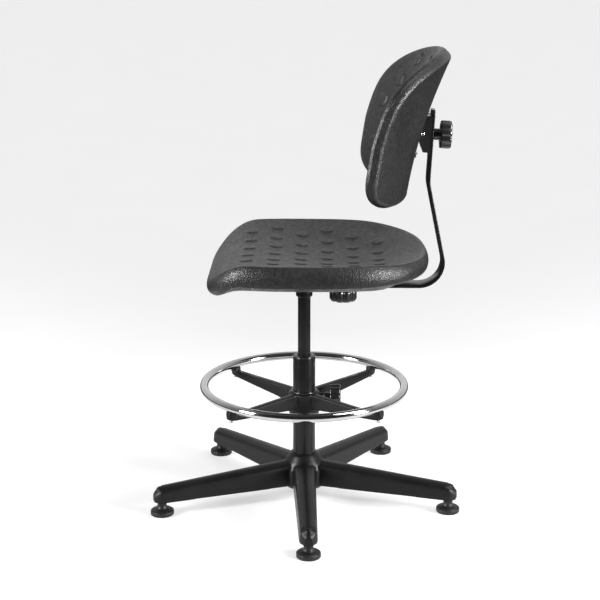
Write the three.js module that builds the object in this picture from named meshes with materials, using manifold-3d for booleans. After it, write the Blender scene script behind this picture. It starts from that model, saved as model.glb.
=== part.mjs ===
// Drafting chair with a moulded seat and backrest, gas lift, foot ring and five-foot base on glides.
// Millimetres, +Z up. The sitter faces -Y and the sitter's left is +X.
// Everything is laid out around the column axis; the last lines move the chair so that the
// origin is on the floor at the centre of its plan outline.
import * as THREE from "three";
import { mergeVertices } from "three/addons/utils/BufferGeometryUtils.js";
import Module from "manifold-3d";

const wasm = await Module();
wasm.setup();

// ---------- driving dimensions ----------
const GAP = 0.3; // clearance between touching pieces
const FOOT_COUNT = 5;
const STAR_TURN = 2.4; // degrees from +X to the first foot
const FOOT_RADIUS = 334; // column axis to glide axis
const GLIDE_DIAMETER = 52;
const OUTER_TUBE_DIAMETER = 50;
const LIFT_DIAMETER = 28;
const BASE_HUB_TOP = 106;
const OUTER_TUBE_BOTTOM = 22;
const OUTER_TUBE_TOP = 332;
const LIFT_BOTTOM = 162;
const LIFT_TOP = 500;
const RING_RADIUS = 224; // column axis to the ring tube's centre line
const RING_TUBE_DIAMETER = 19;
const RING_HEIGHT = 265;
const SPOKE_TURN = 46.5; // degrees from +X to the first spoke
const SPOKE_TOP = 250;
const RING_HUB_BOTTOM = 195;
const RING_HUB_RADIUS = 34;
const KNOB_DIAMETER = 61;
const KNOB_DEPTH = 24;
const SOCKET_BOTTOM = 471;
const SEAT_PLATE_TOP = 525.7;
const SEAT_HALF_WIDTH = 250;
const SEAT_FRONT = -208;
const SEAT_REAR = 271;
const BAR_WIDTH = 45;
const BAR_THICKNESS = 8;
const BAR_LEG_HEIGHT = 499.5; // centre line of the leg under the seat
const BAR_LEG_FRONT = 42;
const BAR_BEND_RADIUS = 52;
const BAR_TOP = { y: 275.4, z: 886 };
const BAR_KNEE = { y: 267.2, z: 729 };
const CLAMP_HEIGHT = 832.5; // height of the backrest's clamp stud
const PIVOT_Y = 253;
const PIVOT_HEIGHT = 836;
const BACK_BOTTOM = 700;
const BACK_TOP = 1011;
const BACK_HALF_WIDTH = 233;
const BACK_BOW = 76; // how far the wings reach forward of the middle

// ---------- materials ----------
const plain = (color, roughness, metalness) =>
  new THREE.MeshStandardMaterial({ color, roughness, metalness });
const foamSkin = plain(0x2b2b2c, 0.62, 0);
const castBlack = plain(0x1c1c1d, 0.5, 0);
const glossBlack = plain(0x161617, 0.28, 0.3);
const knobBlack = plain(0x151516, 0.38, 0);
const glideBlack = plain(0x19191a, 0.6, 0);
const chrome = plain(0xd8dadc, 0.08, 1);
const zinc = plain(0xb9bbbe, 0.35, 1);
const greyPlastic = plain(0x8d8f92, 0.5, 0);
const rubber = plain(0x121212, 0.85, 0);
const plywood = plain(0x574839, 0.7, 0);

// ---------- helpers ----------
const radians = THREE.MathUtils.degToRad;
const { lerp, clamp, smoothstep } = THREE.MathUtils;

// A mesh geometry as a solid that can be joined and cut.
function toSolid(geometry) {
  const bare = geometry.clone();
  bare.deleteAttribute("normal");
  bare.deleteAttribute("uv");
  const merged = mergeVertices(bare, 1e-4);
  return new wasm.Manifold(
    new wasm.Mesh({
      numProp: 3,
      vertProperties: new Float32Array(merged.attributes.position.array),
      triVerts: new Uint32Array(merged.index.array),
    }),
  );
}

// A solid back as a geometry.
function toGeometry(solid) {
  const mesh = solid.getMesh();
  const geometry = new THREE.BufferGeometry();
  geometry.setAttribute("position", new THREE.BufferAttribute(mesh.vertProperties, 3));
  geometry.setIndex(new THREE.BufferAttribute(mesh.triVerts, 1));
  geometry.computeVertexNormals();
  return geometry;
}

const join = (...geometries) => toGeometry(geometries.map(toSolid).reduce((a, b) => a.add(b)));
const cut = (body, ...tools) =>
  toGeometry(tools.map(toSolid).reduce((rest, tool) => rest.subtract(tool), toSolid(body)));

// A closed round solid about Z from a profile of [radius, z] points that goes up on the outside.
function turned(profile, segments = 40) {
  const points = profile.map(([radius, z]) => new THREE.Vector2(radius, z));
  return new THREE.LatheGeometry(points, segments).rotateX(Math.PI / 2);
}

// A solid disc or rod about Z.
const rod = (radius, bottom, top, segments = 32) =>
  turned([[0, bottom], [radius, bottom], [radius, top], [0, top]], segments);

// A round sleeve about Z.
const sleeve = (inner, outer, bottom, top, segments = 40) =>
  turned([[inner, bottom], [outer, bottom], [outer, top], [inner, top], [inner, bottom]], segments);

// A box given by its low and high corners.
function block([x0, y0, z0], [x1, y1, z1]) {
  const box = new THREE.BoxGeometry(x1 - x0, y1 - y0, z1 - z0);
  return box.translate((x0 + x1) / 2, (y0 + y1) / 2, (z0 + z1) / 2);
}

// A closed solid through rings of points, all with the same number of points, which turn
// anticlockwise when seen from the last ring.
function loft(rings) {
  const count = rings[0].length;
  const positions = rings.flat().flatMap((p) => [p.x, p.y, p.z]);
  const faces = [];
  for (let ring = 0; ring < rings.length - 1; ring += 1) {
    for (let i = 0; i < count; i += 1) {
      const a = ring * count + i;
      const b = ring * count + ((i + 1) % count);
      faces.push(a, b, b + count, a, b + count, a + count);
    }
  }
  const last = (rings.length - 1) * count;
  const flat = (ring) => {
    const normalAxis = capAxes(ring);
    return ring.map((p) => new THREE.Vector2(p[normalAxis[0]], p[normalAxis[1]]));
  };
  for (const [a, b, c] of capTriangles(flat(rings[0]))) faces.push(c, b, a);
  for (const [a, b, c] of capTriangles(flat(rings.at(-1)))) faces.push(last + a, last + b, last + c);
  const geometry = new THREE.BufferGeometry();
  geometry.setAttribute("position", new THREE.Float32BufferAttribute(positions, 3));
  geometry.setIndex(faces);
  geometry.computeVertexNormals();
  return geometry;
}

// The two coordinates in which a ring is widest, ordered so that it turns anticlockwise.
function capAxes(ring) {
  const size = new THREE.Box3().setFromPoints(ring).getSize(new THREE.Vector3());
  const axes = ["x", "y", "z"].sort((a, b) => size[b] - size[a]).slice(0, 2);
  const area = THREE.ShapeUtils.area(ring.map((p) => ({ x: p[axes[0]], y: p[axes[1]] })));
  return area > 0 ? axes : axes.reverse();
}

const capTriangles = (contour) => THREE.ShapeUtils.triangulateShape(contour, []);

// A named mesh of one piece.
function piece(name, geometry, material) {
  const mesh = new THREE.Mesh(geometry, material);
  mesh.name = name;
  return mesh;
}

// A group turned about the column axis.
function turnedAbout(degrees, ...children) {
  const group = new THREE.Group();
  group.rotation.z = radians(degrees);
  group.add(...children);
  return group;
}

// ---------- five-foot base ----------
// One arm along +X: a tapering bar with a rounded back, a drooping round end and a dome over the glide.
function baseArm() {
  const tip = FOOT_RADIUS + 17;
  const stations = [12, 60, 150, 250, FOOT_RADIUS - 14, FOOT_RADIUS + 4, tip - 5, tip];
  const sides = 12;
  const rings = stations.map((x) => {
    const along = x / tip;
    const endRound = Math.sqrt(1 - 0.75 * smoothstep(x, FOOT_RADIUS - 20, tip) ** 3);
    const width = lerp(54, 40, along) * endRound;
    const bottom = lerp(35, 31, along);
    const top = lerp(94, 67, along) - 16 * smoothstep(x, FOOT_RADIUS - 12, tip) ** 2;
    return Array.from({ length: sides }, (_, i) => {
      const turn = (i / sides) * 2 * Math.PI + Math.PI / sides;
      const corner = 0.62; // below 1 the section is squarer than an ellipse
      const round = (value) => Math.sign(value) * Math.abs(value) ** corner;
      const side = (width / 2) * round(Math.cos(turn));
      const height = lerp(bottom, top, (1 + round(Math.sin(turn))) / 2);
      return new THREE.Vector3(x, side, height);
    });
  });
  const dome = new THREE.SphereGeometry(10.5, 16, 10).translate(FOOT_RADIUS, 0, 57.5);
  return join(loft(rings), dome);
}

// The open channel under one arm, between its two side walls.
function armChannel() {
  const rings = [[62, 19, 80], [FOOT_RADIUS - 24, 14, 60]].map(([x, half, top]) => [
    new THREE.Vector3(x, half, 10), new THREE.Vector3(x, half - 2, top),
    new THREE.Vector3(x, -half + 2, top), new THREE.Vector3(x, -half, 10),
  ]);
  return loft(rings);
}

function baseStar() {
  const hub = turned(
    [[0, 26], [44, 26], [49, 38], [49, 74], [42, 88], [31, BASE_HUB_TOP], [0, BASE_HUB_TOP]],
    40,
  );
  let star = hub;
  for (let foot = 0; foot < FOOT_COUNT; foot += 1) {
    star = join(star, baseArm().rotateZ((foot * 2 * Math.PI) / FOOT_COUNT));
  }
  const cutters = [rod(OUTER_TUBE_DIAMETER / 2 + GAP, 0, BASE_HUB_TOP + 10, 40)];
  for (let foot = 0; foot < FOOT_COUNT; foot += 1) {
    const turn = (foot * 2 * Math.PI) / FOOT_COUNT;
    cutters.push(rod(5.5 + GAP, 20, 58, 16).translate(FOOT_RADIUS, 0, 0).rotateZ(turn));
    cutters.push(armChannel().rotateZ(turn));
  }
  return piece("base_star", cut(star, ...cutters), castBlack);
}

// A glide: a mushroom foot with a waist, round a steel stem that is pressed into the arm.
function glide(number) {
  const edge = GLIDE_DIAMETER / 2;
  const foot = piece(
    `glide_${number}`,
    turned(
      [[5.5 + GAP, 0], [edge - 3, 0], [edge, 3], [edge, 8], [edge - 4, 12.5], [12, 15], [9.5, 20],
        [10.5, 29.5], [5.5 + GAP, 29.5], [5.5 + GAP, 0]],
      24,
    ),
    glideBlack,
  );
  const stem = piece(`glide_stem_${number}`, rod(5.5, 1.5, 56, 16), zinc);
  const group = new THREE.Group();
  group.position.x = FOOT_RADIUS;
  group.add(foot, stem);
  return turnedAbout((360 * (number - 1)) / FOOT_COUNT, group);
}

// ---------- gas lift ----------
function outerTube() {
  const outer = OUTER_TUBE_DIAMETER / 2;
  const inner = outer - 2;
  const floor = OUTER_TUBE_BOTTOM + 4;
  const profile = [
    [6, OUTER_TUBE_BOTTOM], [outer, OUTER_TUBE_BOTTOM], [outer, OUTER_TUBE_TOP],
    [inner, OUTER_TUBE_TOP], [inner, floor], [6, floor], [6, OUTER_TUBE_BOTTOM],
  ];
  return piece("outer_tube", turned(profile), glossBlack);
}

function guideBush() {
  const outer = OUTER_TUBE_DIAMETER / 2 - 2 - GAP;
  const lip = OUTER_TUBE_DIAMETER / 2 - 0.5;
  const inner = LIFT_DIAMETER / 2 + GAP;
  const bottom = OUTER_TUBE_TOP - 70;
  const seat = OUTER_TUBE_TOP + GAP;
  const profile = [
    [inner, bottom], [outer, bottom], [outer, seat], [lip, seat], [lip, seat + 1.5],
    [lip - 1.5, seat + 3], [inner, seat + 3], [inner, bottom],
  ];
  return piece("guide_bush", turned(profile), greyPlastic);
}

const ROD_RADIUS = 5;

function pistonRod() {
  const bottom = OUTER_TUBE_BOTTOM - 6;
  const head = 285;
  const profile = [
    [0, bottom], [ROD_RADIUS, bottom], [ROD_RADIUS, head], [11, head], [11, head + 14], [0, head + 14],
  ];
  return piece("piston_rod", turned(profile, 28), chrome);
}

function thrustBearing() {
  const floor = OUTER_TUBE_BOTTOM + 4;
  return piece("thrust_bearing", sleeve(ROD_RADIUS + GAP, 11, floor + GAP, floor + 5, 28), zinc);
}

function rubberBuffer() {
  const floor = OUTER_TUBE_BOTTOM + 9.3;
  return piece("rubber_buffer", sleeve(ROD_RADIUS + GAP, 13, floor, floor + 13, 28), rubber);
}

function retainingClip() {
  const top = OUTER_TUBE_BOTTOM - GAP;
  return piece("retaining_clip", sleeve(ROD_RADIUS + GAP, 10, top - 2.5, top, 28), zinc);
}

function pressureTube() {
  const outer = LIFT_DIAMETER / 2;
  const inner = outer - 2;
  const taper = outer - 1.2;
  const roof = LIFT_TOP - 14;
  const profile = [
    [inner, LIFT_BOTTOM], [outer, LIFT_BOTTOM], [outer, SOCKET_BOTTOM - 4], [taper, LIFT_TOP],
    [3.4, LIFT_TOP], [3.4, roof], [inner, roof], [inner, LIFT_BOTTOM],
  ];
  return piece("pressure_tube", turned(profile), glossBlack);
}

function rodGland() {
  const bottom = LIFT_BOTTOM + 1;
  const outer = LIFT_DIAMETER / 2 - 2 - GAP;
  return piece("rod_gland", sleeve(ROD_RADIUS + GAP, outer, bottom, bottom + 12, 28), greyPlastic);
}

const VALVE_TOP = 506.7;

function valvePin() {
  return piece("valve_pin", rod(3, LIFT_TOP - 12, VALVE_TOP, 20), zinc);
}

// ---------- foot ring ----------
// One spoke along +X: a web that gets shallower outwards, with a pad that carries the ring.
function spoke() {
  const rings = [
    [RING_HUB_RADIUS - 6, 17, 34], [90, 16, 29], [160, 15, 21], [RING_RADIUS + 8, 14, 12],
  ].map(([x, width, depth]) => {
    const half = width / 2;
    const low = SPOKE_TOP - depth;
    return [
      new THREE.Vector3(x, half, low), new THREE.Vector3(x, half, SPOKE_TOP),
      new THREE.Vector3(x, -half, SPOKE_TOP), new THREE.Vector3(x, -half, low),
    ];
  });
  const saddleTop = RING_HEIGHT - RING_TUBE_DIAMETER / 2 + 1.5;
  const saddle = block([RING_RADIUS - 9, -9, SPOKE_TOP - 2], [RING_RADIUS + 9, 9, saddleTop]);
  return join(loft(rings), saddle);
}

function ringTubeGeometry(extra = 0) {
  const tube = new THREE.TorusGeometry(RING_RADIUS, RING_TUBE_DIAMETER / 2 + extra, 12, 64);
  return tube.translate(0, 0, RING_HEIGHT);
}

function ringSpider() {
  const top = SPOKE_TOP + 1;
  const r = RING_HUB_RADIUS;
  let spider = turned(
    [[0, RING_HUB_BOTTOM], [r - 3, RING_HUB_BOTTOM], [r, RING_HUB_BOTTOM + 4], [r, top - 8],
      [r - 4, top], [0, top]],
    40,
  );
  for (let arm = 0; arm < 4; arm += 1) {
    spider = join(spider, spoke().rotateZ(radians(SPOKE_TURN + 90 * arm)));
  }
  const clampBoss = rod(11, 0, 42, 24).rotateX(-Math.PI / 2).translate(0, 0, RING_CLAMP_HEIGHT);
  const bore = rod(OUTER_TUBE_DIAMETER / 2 + 2.6, RING_HUB_BOTTOM - 5, top + 5, 40);
  const stud = rod(STUD_RADIUS + GAP, 0, 60, 20).rotateX(-Math.PI / 2).translate(0, 0, RING_CLAMP_HEIGHT);
  const screws = [0, 1, 2, 3].map((arm) =>
    rod(2.5 + GAP, SPOKE_TOP - 20, SPOKE_TOP + 12, 16)
      .translate(RING_RADIUS, 0, 0)
      .rotateZ(radians(SPOKE_TURN + 90 * arm)),
  );
  const body = cut(join(spider, clampBoss), bore, stud, ringTubeGeometry(GAP), ...screws);
  return piece("ring_spider", body, castBlack);
}

function ringTube() {
  return piece("ring_tube", ringTubeGeometry(), chrome);
}

// Plastic liner between the spider's bore and the column, with a lip on top.
function ringLiner() {
  const inner = OUTER_TUBE_DIAMETER / 2 + GAP;
  const outer = OUTER_TUBE_DIAMETER / 2 + 2.6 - GAP;
  const top = SPOKE_TOP + 1 + GAP;
  const profile = [
    [inner, RING_HUB_BOTTOM + 2], [outer, RING_HUB_BOTTOM + 2], [outer, top], [outer + 2.5, top],
    [outer + 2.5, top + 2.5], [inner, top + 2.5], [inner, RING_HUB_BOTTOM + 2],
  ];
  const stud = rod(STUD_RADIUS + GAP, 0, 60, 20).rotateX(-Math.PI / 2).translate(0, 0, RING_CLAMP_HEIGHT);
  return piece("ring_liner", cut(turned(profile), stud), knobBlack);
}

function ringScrew(number) {
  const under = SPOKE_TOP - 14.4;
  const top = RING_HEIGHT - RING_TUBE_DIAMETER / 2 - GAP;
  const profile = [
    [0, under - 3.5], [4.5, under - 3.5], [4.5, under - GAP], [2.5, under - GAP], [2.5, top], [0, top],
  ];
  const screw = turned(profile, 16).translate(RING_RADIUS, 0, 0);
  return turnedAbout(SPOKE_TURN + 90 * (number - 1), piece(`ring_screw_${number}`, screw, zinc));
}

// ---------- clamp knobs ----------
const STUD_RADIUS = 5;
const RING_CLAMP_HEIGHT = 235;

// A fluted knob about +Z with its boss at z = 0 and its crown at z = bossHeight + depth.
function knobGeometry(bossHeight) {
  const lobes = 9;
  const outline = new THREE.Shape();
  const steps = lobes * 5;
  for (let i = 0; i < steps; i += 1) {
    const turn = (i / steps) * 2 * Math.PI;
    const radius = KNOB_DIAMETER / 2 - 3.2 - 1.6 * Math.cos(lobes * turn);
    const x = radius * Math.cos(turn);
    const y = radius * Math.sin(turn);
    if (i === 0) outline.moveTo(x, y);
    else outline.lineTo(x, y);
  }
  const bevel = 1.6;
  const head = new THREE.ExtrudeGeometry(outline, {
    depth: KNOB_DEPTH - 2 * bevel, bevelThickness: bevel, bevelSize: bevel, bevelSegments: 1,
  }).translate(0, 0, bossHeight + bevel);
  const boss = rod(12.5, 0, bossHeight + 2, 28);
  const bore = rod(STUD_RADIUS + GAP, -1, bossHeight + 12, 20);
  return cut(join(head, boss), bore);
}

// A knob on its stud: the stud reaches out of the boss by reach.
function clampKnob(name, bossHeight, reach) {
  const group = new THREE.Group();
  const stud = rod(STUD_RADIUS, -reach, bossHeight + 11, 20);
  group.add(piece(`${name}_knob`, knobGeometry(bossHeight), knobBlack));
  group.add(piece(`${name}_stud`, stud, zinc));
  return group;
}

function ringClamp() {
  const clampKnobGroup = clampKnob("ring", 12, 20);
  clampKnobGroup.position.set(0, 46, RING_CLAMP_HEIGHT);
  clampKnobGroup.rotation.x = -Math.PI / 2;
  return clampKnobGroup;
}

// ---------- seat frame ----------
const DEPTH_CLAMP_Y = 86;
const CHANNEL_REAR = 176;
const CHANNEL_FLOOR = BAR_LEG_HEIGHT - BAR_THICKNESS / 2 - GAP;
const PLATE_BOTTOM = SEAT_PLATE_TOP - 3.2;
const SEAT_BOLTS = [[-75, -80], [75, -80], [-75, 110], [75, 110]];

// Pressed steel cross under the seat.
function seatPlate() {
  const slab = (halfX, y0, y1) => block([-halfX, y0, PLATE_BOTTOM], [halfX, y1, SEAT_PLATE_TOP]);
  const plate = join(slab(42, -100, 150), slab(95, -98, -62), slab(95, 92, 128));
  const holes = SEAT_BOLTS.map(([x, y]) => rod(4 + GAP, 500, 540, 20).translate(x, y, 0));
  return piece("seat_plate", cut(plate, ...holes), glossBlack);
}

// Tapered socket that the gas lift is pressed into, with a window for the lever.
function taperSocket() {
  const bore = LIFT_DIAMETER / 2 + GAP;
  const top = PLATE_BOTTOM - GAP;
  const profile = [
    [bore, SOCKET_BOTTOM], [17.5, SOCKET_BOTTOM], [18, SOCKET_BOTTOM + 1], [18, top], [bore, top],
    [bore, SOCKET_BOTTOM],
  ];
  const window = block([-30, -6, 502.5], [-10, 6, top + 1]);
  return piece("taper_socket", cut(turned(profile), window), glossBlack);
}

// Steel channel under the plate that the backrest bar slides in.
function barChannel() {
  const inner = BAR_WIDTH / 2 + GAP;
  const outer = inner + 3;
  const top = PLATE_BOTTOM - GAP;
  const outside = block([-outer, 30, CHANNEL_FLOOR - 3], [outer, CHANNEL_REAR, top]);
  const inside = block([-inner, 20, CHANNEL_FLOOR], [inner, CHANNEL_REAR + 10, top + 10]);
  const hole = rod(STUD_RADIUS + GAP, 480, 500, 20).translate(0, DEPTH_CLAMP_Y, 0);
  return piece("bar_channel", cut(outside, inside, hole), glossBlack);
}

function barLiner() {
  const half = BAR_WIDTH / 2 - 0.5;
  const low = BAR_LEG_HEIGHT + BAR_THICKNESS / 2 + GAP;
  const liner = block([-half, 34, low], [half, CHANNEL_REAR - 4, PLATE_BOTTOM - 2 * GAP]);
  return piece("bar_liner", liner, greyPlastic);
}

function weldNut() {
  const top = CHANNEL_FLOOR - 3 - GAP;
  const nut = cut(rod(9.5, top - 4, top, 6), rod(STUD_RADIUS + GAP, top - 8, top + 3, 20));
  return piece("weld_nut", nut.translate(0, DEPTH_CLAMP_Y, 0), zinc);
}

function seatBolt(number, [x, y]) {
  const head = PLATE_BOTTOM - GAP;
  const shaft = SEAT_PLATE_TOP + 8;
  const profile = [[0, head - 5], [7.2, head - 5], [7.2, head], [4, head], [4, shaft], [0, shaft]];
  return piece(`seat_bolt_${number}`, turned(profile, 12).translate(x, y, 0), zinc);
}

const BOARD_TOP = SEAT_PLATE_TOP + GAP + 10;

// Stiffening board let into the underside of the seat.
function boardOutline(inset) {
  const half = 150 - inset;
  const round = 40;
  const outline = new THREE.Shape();
  outline.moveTo(-half + round, -half);
  outline.absarc(half - round, -half + round, round, -Math.PI / 2, 0);
  outline.absarc(half - round, half - round, round, 0, Math.PI / 2);
  outline.absarc(-half + round, half - round, round, Math.PI / 2, Math.PI);
  outline.absarc(-half + round, -half + round, round, Math.PI, 1.5 * Math.PI);
  return outline;
}

function boardGeometry(inset, bottom, top) {
  const settings = { depth: top - bottom, bevelEnabled: false, curveSegments: 6 };
  return new THREE.ExtrudeGeometry(boardOutline(inset), settings).translate(0, 15, bottom);
}

function seatBoard() {
  const holes = SEAT_BOLTS.map(([x, y]) => rod(4 + GAP, 520, 540, 20).translate(x, y, 0));
  const board = boardGeometry(GAP, SEAT_PLATE_TOP + GAP, BOARD_TOP - GAP);
  return piece("seat_board", cut(board, ...holes), plywood);
}

// Half width of the seat at a distance y from the column.
function seatHalfWidth(y) {
  const rear = clamp((y - 20) / (SEAT_REAR - 20), 0, 1) ** 2.7;
  const front = clamp((-60 - y) / (-60 - SEAT_FRONT), 0, 1) ** 3.1;
  return SEAT_HALF_WIDTH * Math.sqrt(1 - Math.max(rear, front));
}

// Moulded seat: a shallow dish with a rolled rim and a front edge that drops away.
function seatPad() {
  const depth = SEAT_REAR - SEAT_FRONT;
  const stations = 18;
  const rings = Array.from({ length: stations }, (_, i) => {
    const swing = -Math.cos((Math.PI * (i + 0.35)) / (stations - 0.3));
    const y = SEAT_FRONT + (depth * (1 + swing)) / 2;
    const half = Math.max(seatHalfWidth(y), 60);
    const drop = 56 * clamp((-105 - y) / (-105 - SEAT_FRONT), 0, 1) ** 2;
    const rim = 595 - drop - 9 * smoothstep(y, 120, SEAT_REAR);
    const middle = 583 - drop - 21 * smoothstep(y, -175, 105) + 17 * smoothstep(y, 150, SEAT_REAR);
    const low = lerp(547, 507, smoothstep(-y, 130, 200));
    const flat = lerp(526, low, smoothstep(Math.abs(y - 15), 160, 230));
    const right = [
      [0, middle], [0.35, lerp(middle, rim, 0.13)], [0.65, lerp(middle, rim, 0.47)],
      [0.86, lerp(middle, rim, 0.84)], [0.94, rim], [0.98, rim - 6], [1, rim - 20],
      [0.97, lerp(low, rim, 0.18)], [0.9, low], [0.66, flat], [0, flat],
    ].map(([across, z]) => new THREE.Vector3(across * half, y, z));
    const left = right.slice(1, -1).map((p) => new THREE.Vector3(-p.x, p.y, p.z)).reverse();
    return [...right, ...left];
  });
  const pocket = boardGeometry(0, 500, BOARD_TOP);
  return piece("seat_pad", cut(loft(rings), pocket), foamSkin);
}

// ---------- height lever ----------
const LEVER_PIVOT_X = -28;
const LEVER_HEIGHT = VALVE_TOP + GAP + 4;

// Bent rod from above the valve pin to a paddle at the sitter's right.
function heightLever() {
  const path = new THREE.CatmullRomCurve3([
    new THREE.Vector3(2, 0, LEVER_HEIGHT), new THREE.Vector3(-16, 0, LEVER_HEIGHT),
    new THREE.Vector3(-34, 0, LEVER_HEIGHT), new THREE.Vector3(-70, 0, LEVER_HEIGHT - 6),
    new THREE.Vector3(-120, 0, LEVER_HEIGHT - 15), new THREE.Vector3(-182, 0, LEVER_HEIGHT - 22),
  ]);
  const section = new THREE.Shape().absarc(0, 0, 4, 0, 2 * Math.PI);
  const arm = new THREE.ExtrudeGeometry(section, { steps: 24, curveSegments: 5, extrudePath: path });
  const pinHole = rod(2 + GAP, -20, 20, 16).rotateX(-Math.PI / 2).translate(LEVER_PIVOT_X, 0, LEVER_HEIGHT);
  return piece("height_lever", cut(arm, pinHole), zinc);
}

function leverPaddle() {
  const z = LEVER_HEIGHT - 20.5;
  const paddle = new THREE.Shape();
  paddle.moveTo(-170, -7);
  paddle.lineTo(-170, 7);
  paddle.absarc(-208, 0, 14, Math.PI / 2, 1.5 * Math.PI);
  const slab = new THREE.ExtrudeGeometry(paddle, {
    depth: 9, bevelThickness: 2, bevelSize: 2, bevelSegments: 2, curveSegments: 12,
  }).translate(0, 0, z - 5);
  const socket = block([-184, -5, z - 8], [-150, 5, z + 8]);
  return piece("lever_paddle", cut(slab, socket), knobBlack);
}

// Two ears under the plate that carry the lever's pin.
function leverBracket() {
  const top = PLATE_BOTTOM - GAP;
  const ear = (y) => block([-38, y, LEVER_HEIGHT - 8], [-20, y + 2.5, top]);
  const web = block([-38, -9.5, top - 2.5], [-20, 9.5, top]);
  const pinHole = rod(2 + GAP, -20, 20, 16).rotateX(-Math.PI / 2).translate(LEVER_PIVOT_X, 0, LEVER_HEIGHT);
  return piece("lever_bracket", cut(join(ear(-9.5), ear(7), web), pinHole), glossBlack);
}

function leverPin() {
  const pin = rod(2, -11, 11, 16).rotateX(-Math.PI / 2).translate(LEVER_PIVOT_X, 0, LEVER_HEIGHT);
  return piece("lever_pin", pin, zinc);
}

// ---------- backrest bar ----------
// Centre line of the bar in the YZ plane, from the leg under the seat round the bend to the top.
function barPath() {
  const knee = new THREE.Vector2(BAR_KNEE.y, BAR_KNEE.z);
  const lean = radians(11.8);
  const bendHeight = BAR_LEG_HEIGHT + BAR_BEND_RADIUS;
  const tangentHeight = bendHeight + BAR_BEND_RADIUS * Math.sin(lean);
  const tangentY = knee.x + (knee.y - tangentHeight) * Math.tan(lean);
  const bendY = tangentY - BAR_BEND_RADIUS * Math.cos(lean);
  const points = [[BAR_LEG_FRONT, BAR_LEG_HEIGHT]];
  const steps = 12;
  for (let i = 0; i <= steps; i += 1) {
    const turn = -Math.PI / 2 + (i / steps) * (Math.PI / 2 + lean);
    points.push([bendY + BAR_BEND_RADIUS * Math.cos(turn), bendHeight + BAR_BEND_RADIUS * Math.sin(turn)]);
  }
  points.push([lerp(tangentY, knee.x, 0.9), lerp(tangentHeight, knee.y, 0.9)]);
  points.push([knee.x + 0.7, knee.y + 2]);
  points.push([lerp(knee.x, BAR_TOP.y, 0.12), lerp(knee.y, BAR_TOP.z, 0.12)]);
  points.push([BAR_TOP.y, BAR_TOP.z]);
  return points.map(([y, z]) => new THREE.Vector2(y, z));
}

// The bar's two faces are the centre line moved half the thickness each way.
function backBar() {
  const path = barPath();
  const half = BAR_THICKNESS / 2;
  const face = (side) =>
    path.map((point, i) => {
      const before = path[Math.max(i - 1, 0)];
      const after = path[Math.min(i + 1, path.length - 1)];
      const run = after.clone().sub(before).normalize();
      return new THREE.Vector2(point.x - run.y * half * side, point.y + run.x * half * side);
    });
  const outline = new THREE.Shape([...face(-1), ...face(1).reverse()]);
  const settings = {
    depth: BAR_WIDTH - 2, bevelThickness: 1, bevelSize: 1, bevelOffset: -1, bevelSegments: 1,
  };
  const bar = new THREE.ExtrudeGeometry(outline, settings);
  // The outline's x is the chair's Y and its y is the chair's Z.
  const turn = new THREE.Matrix4().makeBasis(
    new THREE.Vector3(0, 1, 0), new THREE.Vector3(0, 0, 1), new THREE.Vector3(1, 0, 0),
  );
  bar.applyMatrix4(turn).translate(1 - BAR_WIDTH / 2, 0, 0);
  const slotHalf = STUD_RADIUS + GAP;
  const slot = block([-slotHalf, 240, CLAMP_HEIGHT - 52], [slotHalf, 300, CLAMP_HEIGHT + 32]);
  return piece("back_bar", cut(bar, slot), glossBlack);
}

// ---------- backrest slider ----------
const BAR_LEAN = Math.atan2(BAR_TOP.y - BAR_KNEE.y, BAR_TOP.z - BAR_KNEE.z);
const barCentreY = (z) => BAR_KNEE.y + (z - BAR_KNEE.z) * Math.tan(BAR_LEAN);

// Housing in front of the bar, with slots for the bracket's ears.
// In its own frame the bar's front face is y = 0 and the clamp stud is z = 0.
function sliderHousing() {
  const half = 28;
  const profile = new THREE.Shape([
    new THREE.Vector2(-GAP, -35), new THREE.Vector2(-GAP, 40), new THREE.Vector2(-13, 40),
    new THREE.Vector2(-22, 16), new THREE.Vector2(-23, -10), new THREE.Vector2(-13, -35),
  ].reverse());
  const body = new THREE.ExtrudeGeometry(profile, {
    depth: 2 * half - 3, bevelThickness: 1.5, bevelSize: 1.5, bevelOffset: -1.5, bevelSegments: 1,
  });
  const turn = new THREE.Matrix4().makeBasis(
    new THREE.Vector3(0, 1, 0), new THREE.Vector3(0, 0, 1), new THREE.Vector3(1, 0, 0),
  );
  body.applyMatrix4(turn).translate(1.5 - half, 0, 0);
  const stud = rod(STUD_RADIUS + GAP, -30, 10, 20).rotateX(-Math.PI / 2);
  const toPin = new THREE.Vector2(PIVOT_Y - clampFace(), PIVOT_HEIGHT - CLAMP_HEIGHT);
  toPin.rotateAround(new THREE.Vector2(), BAR_LEAN);
  const pin = rod(4 + GAP, -40, 40, 20).rotateY(Math.PI / 2).translate(0, toPin.x, toPin.y);
  const slot = (x) => block([x - GAP, -40, toPin.y - 20], [x + EAR_THICKNESS + GAP, -4, toPin.y + 20]);
  return piece("slider_housing", cut(body, stud, pin, ...EARS.map(slot)), knobBlack);
}

const EAR_THICKNESS = 3;
const EARS = [-20, 17]; // low x of each of the bracket's ears

const clampFace = () => barCentreY(CLAMP_HEIGHT) - BAR_THICKNESS / 2;

// The slider, its clamp knob and stud, in the bar's leaning frame.
function sliderGroup(...children) {
  const group = new THREE.Group();
  group.position.set(0, clampFace(), CLAMP_HEIGHT);
  group.rotation.x = -BAR_LEAN;
  group.add(...children);
  return group;
}

function heightClamp() {
  const knob = clampKnob("height", 13, 19);
  knob.rotation.x = -Math.PI / 2;
  knob.position.y = BAR_THICKNESS + 1.5;
  return sliderGroup(knob);
}

function clampWasher() {
  const washer = sleeve(STUD_RADIUS + GAP, 11, GAP, 1.5 - GAP, 24).rotateX(-Math.PI / 2);
  return piece("clamp_washer", washer.translate(0, BAR_THICKNESS, 0), zinc);
}

// ---------- backrest ----------
const BRACKET_Y = 235;

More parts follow.
